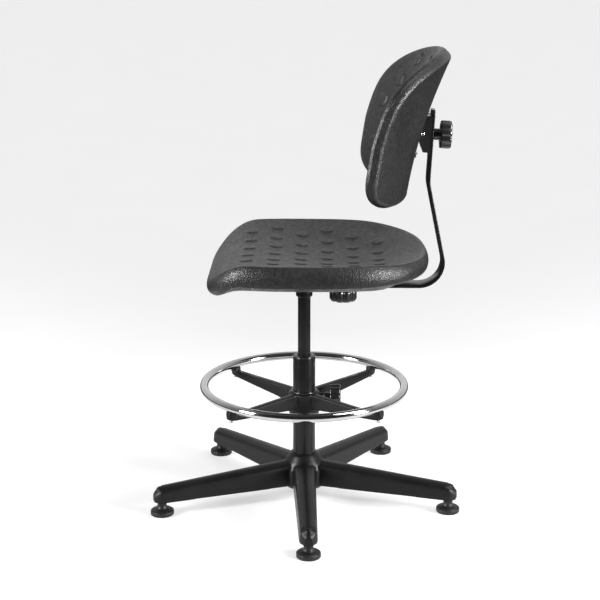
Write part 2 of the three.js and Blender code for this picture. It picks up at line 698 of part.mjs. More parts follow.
// How far back the rear face of the backrest is at height z, on the centre line.
function backFace(z) {
  const rise = (z - BACK_BOTTOM) / 100;
  return 221 + 14 * rise + 5.2 * rise ** 2;
}

// Half width of the backrest at height z.
function backHalfWidth(z) {
  const middle = 862;
  const reach = z < middle ? middle - BACK_BOTTOM + 8 : BACK_TOP - middle + 4;
  const bend = z < middle ? 6 : 2.9;
  return BACK_HALF_WIDTH * Math.sqrt(1 - Math.min(Math.abs(z - middle) / reach, 1) ** bend);
}

// Curved shell that wraps forward and thins out at its wings, and leans back towards the top.
function backPad() {
  const stations = 18;
  const spread = 8;
  const rings = Array.from({ length: stations }, (_, i) => {
    const swing = -Math.cos((Math.PI * (i + 0.3)) / (stations - 0.4));
    const z = BACK_BOTTOM + ((BACK_TOP - BACK_BOTTOM) * (1 + swing)) / 2;
    const half = backHalfWidth(z);
    const thick = 35 * Math.sqrt(1 - Math.abs((z - 850) / (z < 850 ? 170 : 185)) ** 4) + 3;
    const front = backFace(z) - thick;
    const bow = BACK_BOW - 7.5 * smoothstep(-z, -850, -780);
    const point = (across, face) => {
      const x = across * half;
      const wing = (x / BACK_HALF_WIDTH) ** 2;
      return new THREE.Vector3(x, front + face * (thick - 15 * wing) - bow * wing, z);
    };
    const ring = [];
    for (let j = 0; j <= spread; j += 1) {
      ring.push(point(-0.95 + (1.9 * j) / spread, 0));
    }
    ring.push(point(0.99, 0.25), point(1, 0.55));
    for (let j = 0; j <= spread; j += 1) {
      ring.push(point(0.95 - (1.9 * j) / spread, 1));
    }
    ring.push(point(-1, 0.55), point(-0.99, 0.25));
    return ring;
  });
  const pocket = block([-44, BRACKET_Y, 785], [44, 330, 893]);
  const groove = block([-32, 262, 880], [32, 330, 945]);
  const screws = BACK_SCREWS.map(([x, z]) =>
    rod(2.5 + GAP, BRACKET_Y - 14, BRACKET_Y + 2, 16).rotateX(-Math.PI / 2).translate(x, 0, z),
  );
  return piece("back_pad", cut(loft(rings), pocket, groove, ...screws), foamSkin);
}

const BACK_SCREWS = [[-36, 797], [36, 797], [-36, 875], [36, 875]];

// Steel plate in the pocket with two ears that hold the pivot pin and a lip bent back along its top.
function backBracket() {
  const front = BRACKET_Y + GAP;
  const plate = block([-42, front, 788], [42, front + 3, 887]);
  const lip = block([-30, front, 884], [30, 266, 887]);
  const ear = (x) =>
    block([x, front, PIVOT_HEIGHT - 16], [x + EAR_THICKNESS, PIVOT_Y + 8, PIVOT_HEIGHT + 16]);
  const pin = rod(4 + GAP, -50, 50, 20).rotateY(Math.PI / 2).translate(0, PIVOT_Y, PIVOT_HEIGHT);
  const holes = BACK_SCREWS.map(([x, z]) =>
    rod(2.5 + GAP, front - 5, front + 8, 16).rotateX(-Math.PI / 2).translate(x, 0, z),
  );
  return piece("back_bracket", cut(join(plate, lip, ...EARS.map(ear)), pin, ...holes), zinc);
}

function backScrew(number, [x, z]) {
  const seat = BRACKET_Y + 3 + 2 * GAP;
  const profile = [[0, -15], [2.5, -15], [2.5, 0], [4.8, 0], [4.2, 2.6], [0, 2.6]];
  const screw = turned(profile, 16).rotateX(-Math.PI / 2).translate(x, seat, z);
  return piece(`back_screw_${number}`, screw, zinc);
}

function pivotPin() {
  const pin = rod(4, -27.5, 27.5, 20).rotateY(Math.PI / 2).translate(0, PIVOT_Y, PIVOT_HEIGHT);
  return piece("pivot_pin", pin, chrome);
}

// ---------- assembly ----------
const feet = [1, 2, 3, 4, 5];
const four = [1, 2, 3, 4];

const base = turnedAbout(STAR_TURN, baseStar(), ...feet.map(glide));

const lift = new THREE.Group();
lift.add(outerTube(), guideBush(), pistonRod(), thrustBearing(), rubberBuffer(), retainingClip());
lift.add(pressureTube(), rodGland(), valvePin());

const footRing = new THREE.Group();
footRing.add(ringSpider(), ringTube(), ringLiner(), ringClamp(), ...four.map(ringScrew));

const depthClamp = clampKnob("depth", 0.6, 7.6);
depthClamp.rotation.x = Math.PI;
depthClamp.position.set(0, DEPTH_CLAMP_Y, CHANNEL_FLOOR - 7.6);

const seat = new THREE.Group();
seat.add(seatPad(), seatBoard(), seatPlate(), taperSocket(), barChannel(), barLiner(), weldNut());
seat.add(depthClamp, heightLever(), leverPaddle(), leverBracket(), leverPin());
seat.add(...four.map((number) => seatBolt(number, SEAT_BOLTS[number - 1])));

const backrest = new THREE.Group();
backrest.add(backBar(), sliderGroup(sliderHousing(), clampWasher()), heightClamp());
backrest.add(backPad(), backBracket(), pivotPin());
backrest.add(...four.map((number) => backScrew(number, BACK_SCREWS[number - 1])));

const chair = new THREE.Group();
chair.add(base, lift, footRing, seat, backrest);

// The origin goes to the floor under the centre of the plan outline.
chair.updateMatrixWorld(true);
const middle = new THREE.Box3().setFromObject(chair, true).getCenter(new THREE.Vector3());
chair.position.set(-Math.round(middle.x), -Math.round(middle.y), 0);

export default chair;
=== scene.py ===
"""Drafting chair: detailed pieces, materials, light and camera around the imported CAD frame.

Shapes are written in millimetres about the column axis, +Z up, with the sitter facing -Y and
the sitter's left at +X, and are moved to the frame's metres when a mesh is made.
"""
import math

import bmesh
import bpy
import numpy as np
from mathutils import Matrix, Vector


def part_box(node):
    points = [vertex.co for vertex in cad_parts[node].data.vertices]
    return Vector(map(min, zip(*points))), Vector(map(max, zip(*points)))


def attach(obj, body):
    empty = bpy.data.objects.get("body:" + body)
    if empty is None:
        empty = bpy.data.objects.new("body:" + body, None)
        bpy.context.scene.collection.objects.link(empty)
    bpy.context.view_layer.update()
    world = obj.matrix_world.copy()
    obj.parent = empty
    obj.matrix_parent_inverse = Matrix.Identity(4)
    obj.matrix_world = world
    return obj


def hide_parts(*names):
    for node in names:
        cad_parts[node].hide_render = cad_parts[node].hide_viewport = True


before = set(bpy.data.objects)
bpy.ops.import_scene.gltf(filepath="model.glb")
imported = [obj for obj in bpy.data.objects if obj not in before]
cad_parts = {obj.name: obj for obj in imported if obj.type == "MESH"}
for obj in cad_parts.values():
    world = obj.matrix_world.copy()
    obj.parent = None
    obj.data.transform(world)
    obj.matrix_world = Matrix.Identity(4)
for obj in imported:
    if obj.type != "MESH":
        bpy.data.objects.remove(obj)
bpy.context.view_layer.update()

MM = 0.001
ACROSS = (1, 0, 0)
BACKWARD = (0, 1, 0)
FORWARD = (0, -1, 0)
PIVOT = (0, 253, 836)  # the backrest tilts about a pin through here
tube_low, tube_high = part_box("outer_tube")
COLUMN = np.array([(tube_low.x + tube_high.x) / 2, (tube_low.y + tube_high.y) / 2, 0.0])


# ---------- camera ----------
SIDE_TURN = math.radians(0.8)  # the camera stands this far round from +X
CAMERA_DISTANCE = 3.1969
CAMERA_HEIGHT = 1.3268
CAMERA_PITCH = 0.2642
CAMERA_YAW = -0.0029
CAMERA_LENS = 89.8


def make_camera():
    data = bpy.data.cameras.new("camera")
    data.lens = CAMERA_LENS
    data.sensor_width = 36
    data.clip_end = 200
    camera = bpy.data.objects.new("camera", data)
    bpy.context.scene.collection.objects.link(camera)
    out = np.array([math.cos(SIDE_TURN), math.sin(SIDE_TURN), 0])
    right = np.array([-math.sin(SIDE_TURN), math.cos(SIDE_TURN), 0])
    level = -out * math.cos(CAMERA_YAW) + right * math.sin(CAMERA_YAW)
    aim = level * math.cos(CAMERA_PITCH) - np.array([0, 0, math.sin(CAMERA_PITCH)])
    camera.location = Vector(COLUMN + out * CAMERA_DISTANCE + np.array([0, 0, CAMERA_HEIGHT]))
    camera.rotation_euler = Vector(aim).to_track_quat("-Z", "Y").to_euler()
    bpy.context.scene.camera = camera


# ---------- number helpers ----------
def smooth(value, start, end):
    """0 before start, 1 after end, and a smooth step between them."""
    t = np.clip((np.asarray(value, float) - start) / (end - start), 0, 1)
    return t * t * (3 - 2 * t)


def mix(a, b, t):
    return a + (b - a) * t


def unit(vectors):
    return vectors / np.linalg.norm(vectors, axis=-1, keepdims=True)


def fillet(corners, radius, steps=4, closed=True):
    """A polyline with its corners rounded. A corner may carry its own radius as a third number."""
    points = []
    count = len(corners)
    for i, corner in enumerate(corners):
        here = np.array(corner[:2], float)
        own = corner[2] if len(corner) > 2 else radius
        if own <= 0 or (not closed and i in (0, count - 1)):
            points.append(here)
            continue
        before = np.array(corners[i - 1][:2], float) - here
        after = np.array(corners[(i + 1) % count][:2], float) - here
        reach_before, reach_after = np.linalg.norm(before), np.linalg.norm(after)
        before, after = before / reach_before, after / reach_after
        half = math.acos(float(np.clip(before @ after, -1, 1))) / 2
        if half > 1.54:
            points.append(here)
            continue
        reach = min(own / math.tan(half), 0.48 * reach_before, 0.48 * reach_after)
        centre = here + unit(before + after) * reach / math.cos(half)
        first, last = here + before * reach - centre, here + after * reach - centre
        sweep = math.pi - 2 * half
        for k in range(steps + 1):
            t = k / steps
            weights = math.sin((1 - t) * sweep), math.sin(t * sweep)
            points.append(centre + (weights[0] * first + weights[1] * last) / math.sin(sweep))
    return np.array(points)


def ring(count, start=0.0):
    turn = start + np.arange(count) * 2 * math.pi / count
    return np.stack([np.cos(turn), np.sin(turn)], axis=1)


# ---------- mesh helpers: each returns (points, faces) ----------
def bridge(first, second, count):
    """Quads between two rings of the same size that start at those point numbers."""
    return [
        (first + i, first + (i + 1) % count, second + (i + 1) % count, second + i)
        for i in range(count)
    ]


def loft(rings, caps=True, loop=False):
    """A skin through rings of equally many points, with flat ends or joined end to end."""
    count = len(rings[0])
    faces = []
    for k in range(len(rings) - 1):
        faces += bridge(k * count, (k + 1) * count, count)
    last = (len(rings) - 1) * count
    if loop:
        faces += bridge(last, 0, count)
    elif caps:
        faces.append(tuple(range(count - 1, -1, -1)))
        faces.append(tuple(range(last, last + count)))
    return np.concatenate(rings), faces


def lathe(profile, segments=64, loop=False):
    """A round body about Z from [radius, z] points. loop joins the last point to the first."""
    circle = ring(segments)
    rings = [np.column_stack([circle * r, np.full(segments, z)]) for r, z in profile]
    return loft(rings, caps=not loop, loop=loop)


def prism(outline, bottom, top, bevel=1.0, steps=3):
    """An outline that turns anticlockwise, raised from bottom to top with rounded edges."""
    before, after = np.roll(outline, 1, axis=0), np.roll(outline, -1, axis=0)
    along = unit(after - before)
    outward = np.stack([along[:, 1], -along[:, 0]], axis=1)
    rings = []
    turns = np.linspace(0, math.pi / 2, steps + 1)
    for turn in turns:
        edge = outline - outward * bevel * (1 - math.sin(turn))
        rings.append(np.column_stack([edge, np.full(len(edge), bottom + bevel * (1 - math.cos(turn)))]))
    for turn in turns[::-1]:
        edge = outline - outward * bevel * (1 - math.sin(turn))
        rings.append(np.column_stack([edge, np.full(len(edge), top - bevel * (1 - math.cos(turn)))]))
    return loft(rings)


def sweep(path, section, side=(1.0, 0.0, 0.0)):
    """A section's [side, up] points carried along a path, with side kept as steady as it can be."""
    path = np.asarray(path, float)
    ahead = unit(np.gradient(path, axis=0))
    rings = []
    for point, forward in zip(path, ahead):
        across = np.array(side) - forward * (forward @ np.array(side))
        across = across / np.linalg.norm(across)
        up = np.cross(forward, across)
        rings.append(point + section[:, :1] * across + section[:, 1:] * up)
    return loft(rings)


def placed(shape, origin=(0, 0, 0), across=(1, 0, 0), up=(0, 0, 1)):
    """The shape with its X along across, its Z along up and its zero at origin."""
    points, faces = shape
    x = unit(np.array(across, float))
    z = unit(np.array(up, float))
    basis = np.stack([x, np.cross(z, x), z])
    return points @ basis + np.array(origin, float), faces


def turned(shape, degrees):
    """The shape turned about the column axis."""
    turn = math.radians(degrees)
    return placed(shape, across=(math.cos(turn), math.sin(turn), 0))


def merged(*shapes):
    points, faces, start = [], [], 0
    for own_points, own_faces in shapes:
        points.append(own_points)
        faces += [tuple(start + i for i in face) for face in own_faces]
        start += len(own_points)
    return np.concatenate(points), faces


def smoothed_path(knots, steps=8):
    """A Catmull-Rom curve through the knots."""
    knots = np.asarray(knots, float)
    padded = np.concatenate([2 * knots[:1] - knots[1:2], knots, 2 * knots[-1:] - knots[-2:-1]])
    points = []
    for i in range(1, len(padded) - 2):
        a, b, c, d = padded[i - 1:i + 3]
        for t in np.arange(steps) / steps:
            points.append(
                0.5 * (2 * b + (c - a) * t + (2 * a - 5 * b + 4 * c - d) * t**2
                       + (3 * b - a - 3 * c + d) * t**3)
            )
    points.append(knots[-1])
    return np.array(points)


# ---------- objects ----------
def mesh_object(name, shape):
    """A shape as an object in the frame's metres, with its faces turned outward."""
    points, faces = shape
    mesh = bpy.data.meshes.new(name)
    mesh.from_pydata((points * MM + COLUMN).tolist(), [], faces)
    work = bmesh.new()
    work.from_mesh(mesh)
    bmesh.ops.remove_doubles(work, verts=work.verts, dist=1e-6)
    bmesh.ops.dissolve_degenerate(work, edges=work.edges, dist=1e-6)
    bmesh.ops.recalc_face_normals(work, faces=work.faces)
    work.to_mesh(mesh)
    work.free()
    obj = bpy.data.objects.new(name, mesh)
    bpy.context.scene.collection.objects.link(obj)
    return obj


def bake_modifiers(obj):
    """Puts the result of the object's modifiers in its mesh."""
    graph = bpy.context.evaluated_depsgraph_get()
    mesh = bpy.data.meshes.new_from_object(obj.evaluated_get(graph))
    obj.modifiers.clear()
    obj.data = mesh


def carve(obj, *shapes):
    """Cuts closed shapes out of the object."""
    for shape in shapes:
        cutter = mesh_object("cutter", shape)
        modifier = obj.modifiers.new("cut", "BOOLEAN")
        modifier.operation = "DIFFERENCE"
        modifier.solver = "EXACT"
        modifier.object = cutter
        bake_modifiers(obj)
        bpy.data.objects.remove(cutter)


def fuse(obj, voxel, rounds):
    """Melts overlapping closed shapes into one skin and rounds the corners between them."""
    remesh = obj.modifiers.new("melt", "REMESH")
    remesh.mode = "VOXEL"
    remesh.voxel_size = voxel * MM
    relax = obj.modifiers.new("relax", "SMOOTH")
    relax.factor = 0.5
    relax.iterations = rounds
    bake_modifiers(obj)


def finish_piece(obj, body, nodes, slot, crease=35):
    """Shades a piece, gives it its material, ties it to its body and hides the CAD nodes it stands in for.
    """
    obj.data.shade_smooth()
    if crease:
        obj.data.set_sharp_from_angle(angle=math.radians(crease))
    obj.data.materials.clear()
    obj.data.materials.append(FINISHES[slot])
    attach(obj, body)
    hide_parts(*nodes)
    return obj


def piece(name, shape, body, slot, nodes=(), crease=35, cuts=()):
    obj = mesh_object(name, shape)
    carve(obj, *cuts)
    return finish_piece(obj, body, nodes or (name,), slot, crease)


# ---------- materials ----------
class Nodes:
    """Short names for building one material's node tree."""

    def __init__(self, name):
        self.material = bpy.data.materials.new(name)
        self.material.use_nodes = True
        self.tree = self.material.node_tree
        self.shader = self.tree.nodes["Principled BSDF"]
        self.place = self.tree.nodes.new("ShaderNodeTexCoord").outputs["Object"]

    def put(self, socket, value):
        if isinstance(value, bpy.types.NodeSocket):
            self.tree.links.new(value, socket)
        else:
            socket.default_value = value

    def node(self, kind, output=0, props=(), **values):
        node = self.tree.nodes.new(kind)
        for key, value in dict(props).items():
            setattr(node, key, value)
        for key, value in values.items():
            self.put(node.inputs[int(key[1:]) if key[0] == "i" and key[1:].isdigit() else key], value)
        return node.outputs[output]

    def stretched(self, x, y, z):
        return self.node("ShaderNodeMapping", Vector=self.place, Scale=(x, y, z))

    def noise(self, scale, detail=3.0, rough=0.55, where=None, output="Fac"):
        return self.node(
            "ShaderNodeTexNoise", output, Vector=where or self.place, Scale=scale, Detail=detail,
            Roughness=rough,
        )

    def cells(self, scale, feature="F1", where=None):
        return self.node(
            "ShaderNodeTexVoronoi", "Distance", {"feature": feature}, Vector=where or self.place,
            Scale=scale,
        )

    def span(self, value, low, high, new_low, new_high):
        return self.node(
            "ShaderNodeMapRange", 0, Value=value, i1=low, i2=high, i3=new_low, i4=new_high,
        )

    def math(self, operation, a, b=0.0):
        return self.node("ShaderNodeMath", 0, {"operation": operation}, i0=a, i1=b)

    def blend(self, share, a, b):
        """Colours a and b mixed by share."""
        return self.node("ShaderNodeMix", 2, {"data_type": "RGBA"}, i0=share, i6=a, i7=b)

    def bump(self, height, depth, strength=1.0):
        """Adds a height, in millimetres at 1, to what the surface has."""
        before = self.shader.inputs["Normal"].links
        settings = {"Height": height, "Distance": depth * MM, "Strength": strength}
        node = self.tree.nodes.new("ShaderNodeBump")
        for key, value in settings.items():
            self.put(node.inputs[key], value)
        if before:
            self.tree.links.new(before[0].from_socket, node.inputs["Normal"])
        self.tree.links.new(node.outputs["Normal"], self.shader.inputs["Normal"])

    def set(self, **values):
        for key, value in values.items():
            self.put(self.shader.inputs[key.replace("_", " ")], value)
        return self.material


def grey(level, warm=0.0):
    return (level * (1 + warm), level, level * (1 - warm), 1.0)


def foam_skin():
    """Integral-skin foam with a leather grain: pebbles of about 5 mm between fine creases."""
    n = Nodes("foam_skin")
    bent = n.node(
        "ShaderNodeVectorMath", 0, {"operation": "ADD"}, i0=n.place,
        i1=n.node("ShaderNodeVectorMath", 0, {"operation": "SCALE"},
                  i0=n.noise(160, 3, output="Color"), Scale=0.004))
    creases = n.cells(215, "DISTANCE_TO_EDGE", bent)
    pebbles = n.cells(215, "F1", bent)
    patches = n.noise(14, 4, 0.6)
    folds = n.noise(110, 4, 0.7)
    fine = n.noise(900, 2, 0.6)
    worn = n.node("ShaderNodeAttribute", "Fac", {"attribute_name": "worn"})
    body = n.blend(n.span(patches, 0.3, 0.7, 0, 1), grey(0.003, 0.03), grey(0.005, 0.04))
    body = n.blend(n.span(folds, 0.42, 0.60, 0.0, 0.7), body, grey(0.017, 0.03))
    # the grain's creases are painted darker: painted shade in the creases
    body = n.blend(n.span(creases, 0.0, 0.16, 0.75, 0.0), body, grey(0.004))
    # rims and disc edges marked by the point attribute are painted lighter: partly wear, partly painted
    # highlight
    body = n.blend(n.math("MULTIPLY", worn, 0.6), body, grey(0.028, 0.02))
    rough = n.span(patches, 0.3, 0.7, 0.36, 0.43)
    rough = n.math("SUBTRACT", rough, n.math("MULTIPLY", worn, 0.07))
    rough = n.math("ADD", rough, n.span(folds, 0.4, 0.65, 0.05, -0.06))
    n.bump(n.span(creases, 0.0, 0.30, 0.0, 1.0), 0.26, 1.0)
    n.bump(n.span(pebbles, 0.0, 0.8, 1.0, 0.0), 0.22, 0.9)
    n.bump(folds, 0.55, 0.7)
    n.bump(fine, 0.02, 0.4)
    return n.set(Base_Color=body, Roughness=rough, Specular_IOR_Level=0.30)


def moulded(name, low, high, rough, grain, grain_depth, spread=0.05, shine=0.5):
    """Injection-moulded or powder-coated black: faint clouds, spark-eroded grain, scuffs."""
    n = Nodes(name)
    clouds = n.noise(22, 4, 0.6)
    fine = n.noise(grain, 2, 0.6)
    scuffs = n.noise(60, 5, 0.7, n.stretched(1, 1, 5))
    body = n.blend(n.span(clouds, 0.3, 0.7, 0, 1), grey(low, 0.02), grey(high, 0.02))
    body = n.blend(n.span(scuffs, 0.60, 0.80, 0, 0.25), body, grey(high * 1.8))
    rough_map = n.math("ADD", n.span(clouds, 0.3, 0.7, rough - spread, rough + spread),
                       n.span(scuffs, 0.55, 0.8, 0, 0.06))
    n.bump(fine, grain_depth, 0.6)
    n.bump(clouds, grain_depth * 2.5, 0.3)
    return n.set(Base_Color=body, Roughness=rough_map, Specular_IOR_Level=shine)


def metal(name, level, rough, brush, depth, warm=0.0, spread=0.04):
    """Bare or plated metal with fine drawn lines and faint stains."""
    n = Nodes(name)
    lines = n.noise(brush, 3, 0.6, n.stretched(1, 1, 12))
    stains = n.noise(30, 4, 0.6)
    body = n.blend(n.span(stains, 0.3, 0.7, 0, 1), grey(level, warm), grey(level * 0.86, warm))
    rough_map = n.math("ADD", n.span(stains, 0.3, 0.7, rough, rough + spread),
                       n.span(lines, 0.3, 0.7, -0.015, 0.02))
    n.bump(lines, depth, 0.4)
    return n.set(Base_Color=body, Roughness=rough_map, Metallic=1.0)


def board_ply():
    """Dark plywood: a slow warp of colour, fine grain and faint layers."""
    n = Nodes("board_ply")
    warp = n.noise(7, 4, 0.6)
    grain = n.noise(90, 5, 0.65, n.stretched(1, 0.06, 1))
    layers = n.node("ShaderNodeTexWave", "Fac", {"bands_direction": "Z"}, Vector=n.place,
                    Scale=110.0, Distortion=1.2, Detail=2.0)
    shade = n.math("ADD", n.math("MULTIPLY", grain, 0.7), n.math("MULTIPLY", warp, 0.3))
    body = n.blend(n.span(shade, 0.3, 0.7, 0, 1), (0.075, 0.050, 0.032, 1), (0.13, 0.092, 0.060, 1))
    body = n.blend(n.span(layers, 0.4, 0.9, 0, 0.25), body, (0.045, 0.03, 0.02, 1))
    n.bump(grain, 0.15, 0.5)
    return n.set(Base_Color=body, Roughness=n.span(grain, 0.3, 0.7, 0.6, 0.75))


FINISHES = {
    "foam_skin": foam_skin(),
    "cast_black": moulded("cast_black", 0.003, 0.005, 0.38, 1500, 0.05, shine=0.22),
    "gloss_black": moulded("gloss_black", 0.004, 0.006, 0.22, 700, 0.02, spread=0.03, shine=0.22),
    "knob_black": moulded("knob_black", 0.005, 0.008, 0.24, 1100, 0.03, spread=0.04, shine=0.75),
    "glide_black": moulded("glide_black", 0.006, 0.009, 0.48, 1300, 0.06, shine=0.35),
    "chrome": metal("chrome", 0.62, 0.05, 900, 0.004),
    "zinc": metal("zinc", 0.55, 0.26, 700, 0.02, warm=0.01),
    "grey_plastic": moulded("grey_plastic", 0.12, 0.17, 0.45, 1200, 0.05),
    "rubber": moulded("rubber", 0.010, 0.016, 0.75, 1000, 0.08),
    "board_ply": board_ply(),
}


# ---------- moulded skins ----------
GRID = 250


def disc_grid(size):
    """A square grid pressed into the unit disc: radii, directions, border in order and quads."""
    u, v = np.meshgrid(np.linspace(-1, 1, size + 1), np.linspace(-1, 1, size + 1), indexing="ij")
    x = u * np.sqrt(1 - v * v / 2)
    y = v * np.sqrt(1 - u * u / 2)
    number = np.arange((size + 1) ** 2).reshape(size + 1, size + 1)
    border = np.concatenate([number[:-1, 0], number[-1, :-1], number[:0:-1, -1], number[0, :0:-1]])
    quads = np.stack([number[:-1, :-1], number[1:, :-1], number[1:, 1:], number[:-1, 1:]], axis=-1)
    x, y = x.ravel(), y.ravel()
    radius = np.hypot(x, y)
    directions = np.stack([x, y], axis=1) / np.maximum(radius, 1e-9)[:, None]
    directions[radius < 1e-9] = (1, 0)
    return radius, directions, border, quads.reshape(-1, 4)


def skirt(border, start, ring_count):
    """Faces from a grid's border through rings of points that are numbered from start."""
    count = len(border)
    faces = []
    for i in range(count):
        j = (i + 1) % count
        faces.append((border[i], border[j], start + j, start + i))
    for k in range(ring_count - 1):
        faces += bridge(start + k * count, start + (k + 1) * count, count)
    return faces


def reach_along(inside, directions, limit):
    """How far each direction goes before inside(points) turns false, by halving."""
    low, high = np.zeros(len(directions)), np.full(len(directions), float(limit))
    for _ in range(30):
        middle = (low + high) / 2
        ok = inside(directions * middle[:, None])
        low, high = np.where(ok, middle, low), np.where(ok, high, middle)
    return low


def border_normals(points):
    """Outward directions in the plane for a closed border that turns anticlockwise."""
    along = np.roll(points, -1, axis=0) - np.roll(points, 1, axis=0)
    return unit(np.stack([along[:, 1], -along[:, 0]], axis=1))


def arcs(parts, steps):
    """Outward and upward steps along arcs. Each part is (start angle, end angle, radius)."""
    out, rise = [], []
    x, z = 0.0, 0.0
    for start, end, radius in parts:
        for k in range(1, steps + 1):
            angle = start + (end - start) * k / steps
            out.append(x + radius * (np.sin(start) - np.sin(angle)))
            rise.append(z + radius * (np.cos(angle) - np.cos(start)))
        x, z = out[-1], rise[-1]
    return out, rise


DISC_RADIUS = 14.5
DISC_HEIGHT = 2.3


def raised_discs(x, y, centres):
    """Height of the round pads at those places, and a lighter band inside their edges that is partly wear
    and partly painted highlight.
    """
    height = np.zeros_like(x)
    wear = np.zeros_like(x)
    for cx, cy in centres:
        away = np.hypot(x - cx, y - cy)
        height = np.maximum(height, DISC_HEIGHT * (1 - smooth(away, DISC_RADIUS - 2.0, DISC_RADIUS + 0.8)))
        height = height - 0.5 * np.exp(-(((away - DISC_RADIUS - 2.4) / 1.6) ** 2))
        wear = np.maximum(wear, np.exp(-(((away - DISC_RADIUS + 2.2) / 1.8) ** 2)))
    return height, wear


def add_wear(obj, values):
    # stores the marks that the foam is painted lighter by: partly wear, partly painted highlight
    layer = obj.data.attributes.new("worn", "FLOAT", "POINT")
    layer.data.foreach_set("value", np.clip(values, 0, 1).astype(np.float32))


# ---------- seat ----------
SEAT_HALF = 251.0
SEAT_FRONT = 208.0
SEAT_REAR = 271.0
SEAT_CENTRE = np.array([0.0, 15.0])
SEAT_FRONT_POWERS = 4.6, 3.2  # how square the outline is across and along, ahead of the column
SEAT_REAR_POWERS = 2.4, 3.0  # and behind it
BOARD_HALF = 150.0
BOARD_ROUND = 40.0
BOARD_LEVEL = 526.0


def inside_seat(offsets):
    x, y = np.abs(offsets[:, 0]), offsets[:, 1] + SEAT_CENTRE[1]
    across, along = SEAT_FRONT_POWERS
    front = (x / SEAT_HALF) ** across + (np.abs(y) / SEAT_FRONT) ** along
    across, along = SEAT_REAR_POWERS
    rear = (x / SEAT_HALF) ** across + (np.abs(y) / SEAT_REAR) ** along
    return np.where(y < 0, front, rear) < 1


def inside_board(offsets):
    corner = np.maximum(np.abs(offsets) - (BOARD_HALF - BOARD_ROUND), 0)
    return np.hypot(corner[:, 0], corner[:, 1]) < BOARD_ROUND


def seat_spread(y):
    """Half the seat's width at y, as a share of its greatest."""
    across, along = SEAT_FRONT_POWERS
    front = np.clip(1 - np.abs(y / SEAT_FRONT) ** along, 0, 1) ** (1 / across)
    across, along = SEAT_REAR_POWERS
    rear = np.clip(1 - np.abs(y / SEAT_REAR) ** along, 0, 1) ** (1 / across)
    return np.where(y < 0, front, rear)


def seat_top(x, y):
    """Height of the sitting surface: a dish that rises at the rear and rolls down in front."""
    ahead = np.clip((-105 - y) / 100, 0, 1.1)
    middle = 583.5 - 45 * ahead**2 - 21.5 * smooth(y, -175, 105) + 19 * smooth(y, 150, 265)
    rim = 596 - 60 * ahead**2.2 - 9 * smooth(y, 120, 270)
    least = mix(200, 110, smooth(y, 0, 150))  # keeps the dish open where the outline narrows
    across = np.clip(np.abs(x) / np.maximum(0.96 * SEAT_HALF * seat_spread(y), least), 0, 1.05)
    return middle + (rim - middle) * across**2


SEAT_DISCS = [
    (71 * (i - (count - 1) / 2), y)
    for y, count in ((-120, 5), (-63, 6), (-6, 5), (50, 6), (107, 5), (162, 4))
    for i in range(count)
]


def seat_skin():
    radius, directions, border, quads = disc_grid(GRID)
    reach = reach_along(inside_seat, directions, 400)
    edge = directions[border] * reach[border, None] + SEAT_CENTRE
    outward = border_normals(edge)
    nose = smooth(-edge[:, 1], 120, 200)
    low = mix(549.0, 503 + 17 * (edge[:, 0] / 200) ** 2, smooth(-edge[:, 1], 130, 200))
    top_radius, low_radius = mix(6.0, 12.0, nose), mix(9.0, 17.0, nose)
    tucked, under = math.radians(-108), math.radians(-184)
    inset = np.full(len(border), 12.0)
    for _ in range(5):
        crest = edge - outward * inset[:, None]
        inner = crest - outward * 2
        crest_height = seat_top(crest[:, 0], crest[:, 1])
        slope = np.arctan2(crest_height - seat_top(inner[:, 0], inner[:, 1]), 2)
        shoulder = np.minimum(math.radians(-50), slope - 0.05)
        left = crest_height - low - top_radius * (np.cos(slope) - np.cos(shoulder))
        left = left - low_radius * (math.cos(tucked) - math.cos(under))
        side_radius = np.maximum(left, 2) / (np.cos(shoulder) - math.cos(tucked))
        inset = top_radius * (np.sin(slope) - np.sin(shoulder)) + side_radius * (1 + np.sin(shoulder))
    # the top grid ends on the crest, so each direction is shortened by the crest's share
    share = np.linalg.norm(crest - SEAT_CENTRE, axis=1) / reach[border]
    turn = np.arctan2(directions[:, 1], directions[:, 0])
    border_turn = turn[border]
    order = np.argsort(border_turn)
    shrink = np.interp(turn, border_turn[order], share[order], period=2 * math.pi)
    flat = directions * (radius * reach * shrink)[:, None] + SEAT_CENTRE
    flat[border] = crest
    lumps, disc_wear = raised_discs(flat[:, 0], flat[:, 1], SEAT_DISCS)
    top = np.column_stack([flat, seat_top(flat[:, 0], flat[:, 1]) + lumps])
    crest_height = top[border, 2]
    out, rise = arcs(
        [(slope, shoulder, top_radius), (shoulder, tucked, side_radius), (tucked, under, low_radius)], 10
    )
    rings = [
        np.column_stack([crest + outward * np.asarray(o)[:, None], crest_height + h])
        for o, h in zip(out, rise)
    ]
    last = rings[-1]
    board_directions = unit(edge - SEAT_CENTRE)
    hole = board_directions * reach_along(inside_board, board_directions, 300)[:, None] + SEAT_CENTRE
    for t in np.linspace(0, 1, 16)[1:]:
        level = mix(last[:, 2], BOARD_LEVEL, smooth(t, 0.0, 0.8))
        rings.append(np.column_stack([mix(last[:, :2], hole, t), level]))
    rings.append(np.column_stack([hole, np.full(len(hole), BOARD_LEVEL + 10)]))
    points = np.concatenate([top] + rings)
    count = len(border)
    start = len(top)
    faces = [tuple(q) for q in quads.tolist()] + skirt(border, start, len(rings))
    end = start + (len(rings) - 1) * count
    faces.append(tuple(range(end, end + count)))
    # the disc rims, the crest and its roll onto the side are painted lighter: partly wear, partly painted
    # highlight
    wear = np.zeros(len(points))
    wear[:len(top)] = disc_wear * 0.8 + 0.55 * smooth(radius, 0.965, 1.0)
    for k, strength in enumerate(np.linspace(0.6, 0.0, 10)):
        wear[start + k * count:start + (k + 1) * count] = strength
    obj = mesh_object("seat_skin", (points, faces))
    add_wear(obj, wear)
    finish_piece(obj, "seat", ("seat_pad",), "foam_skin", crease=60)


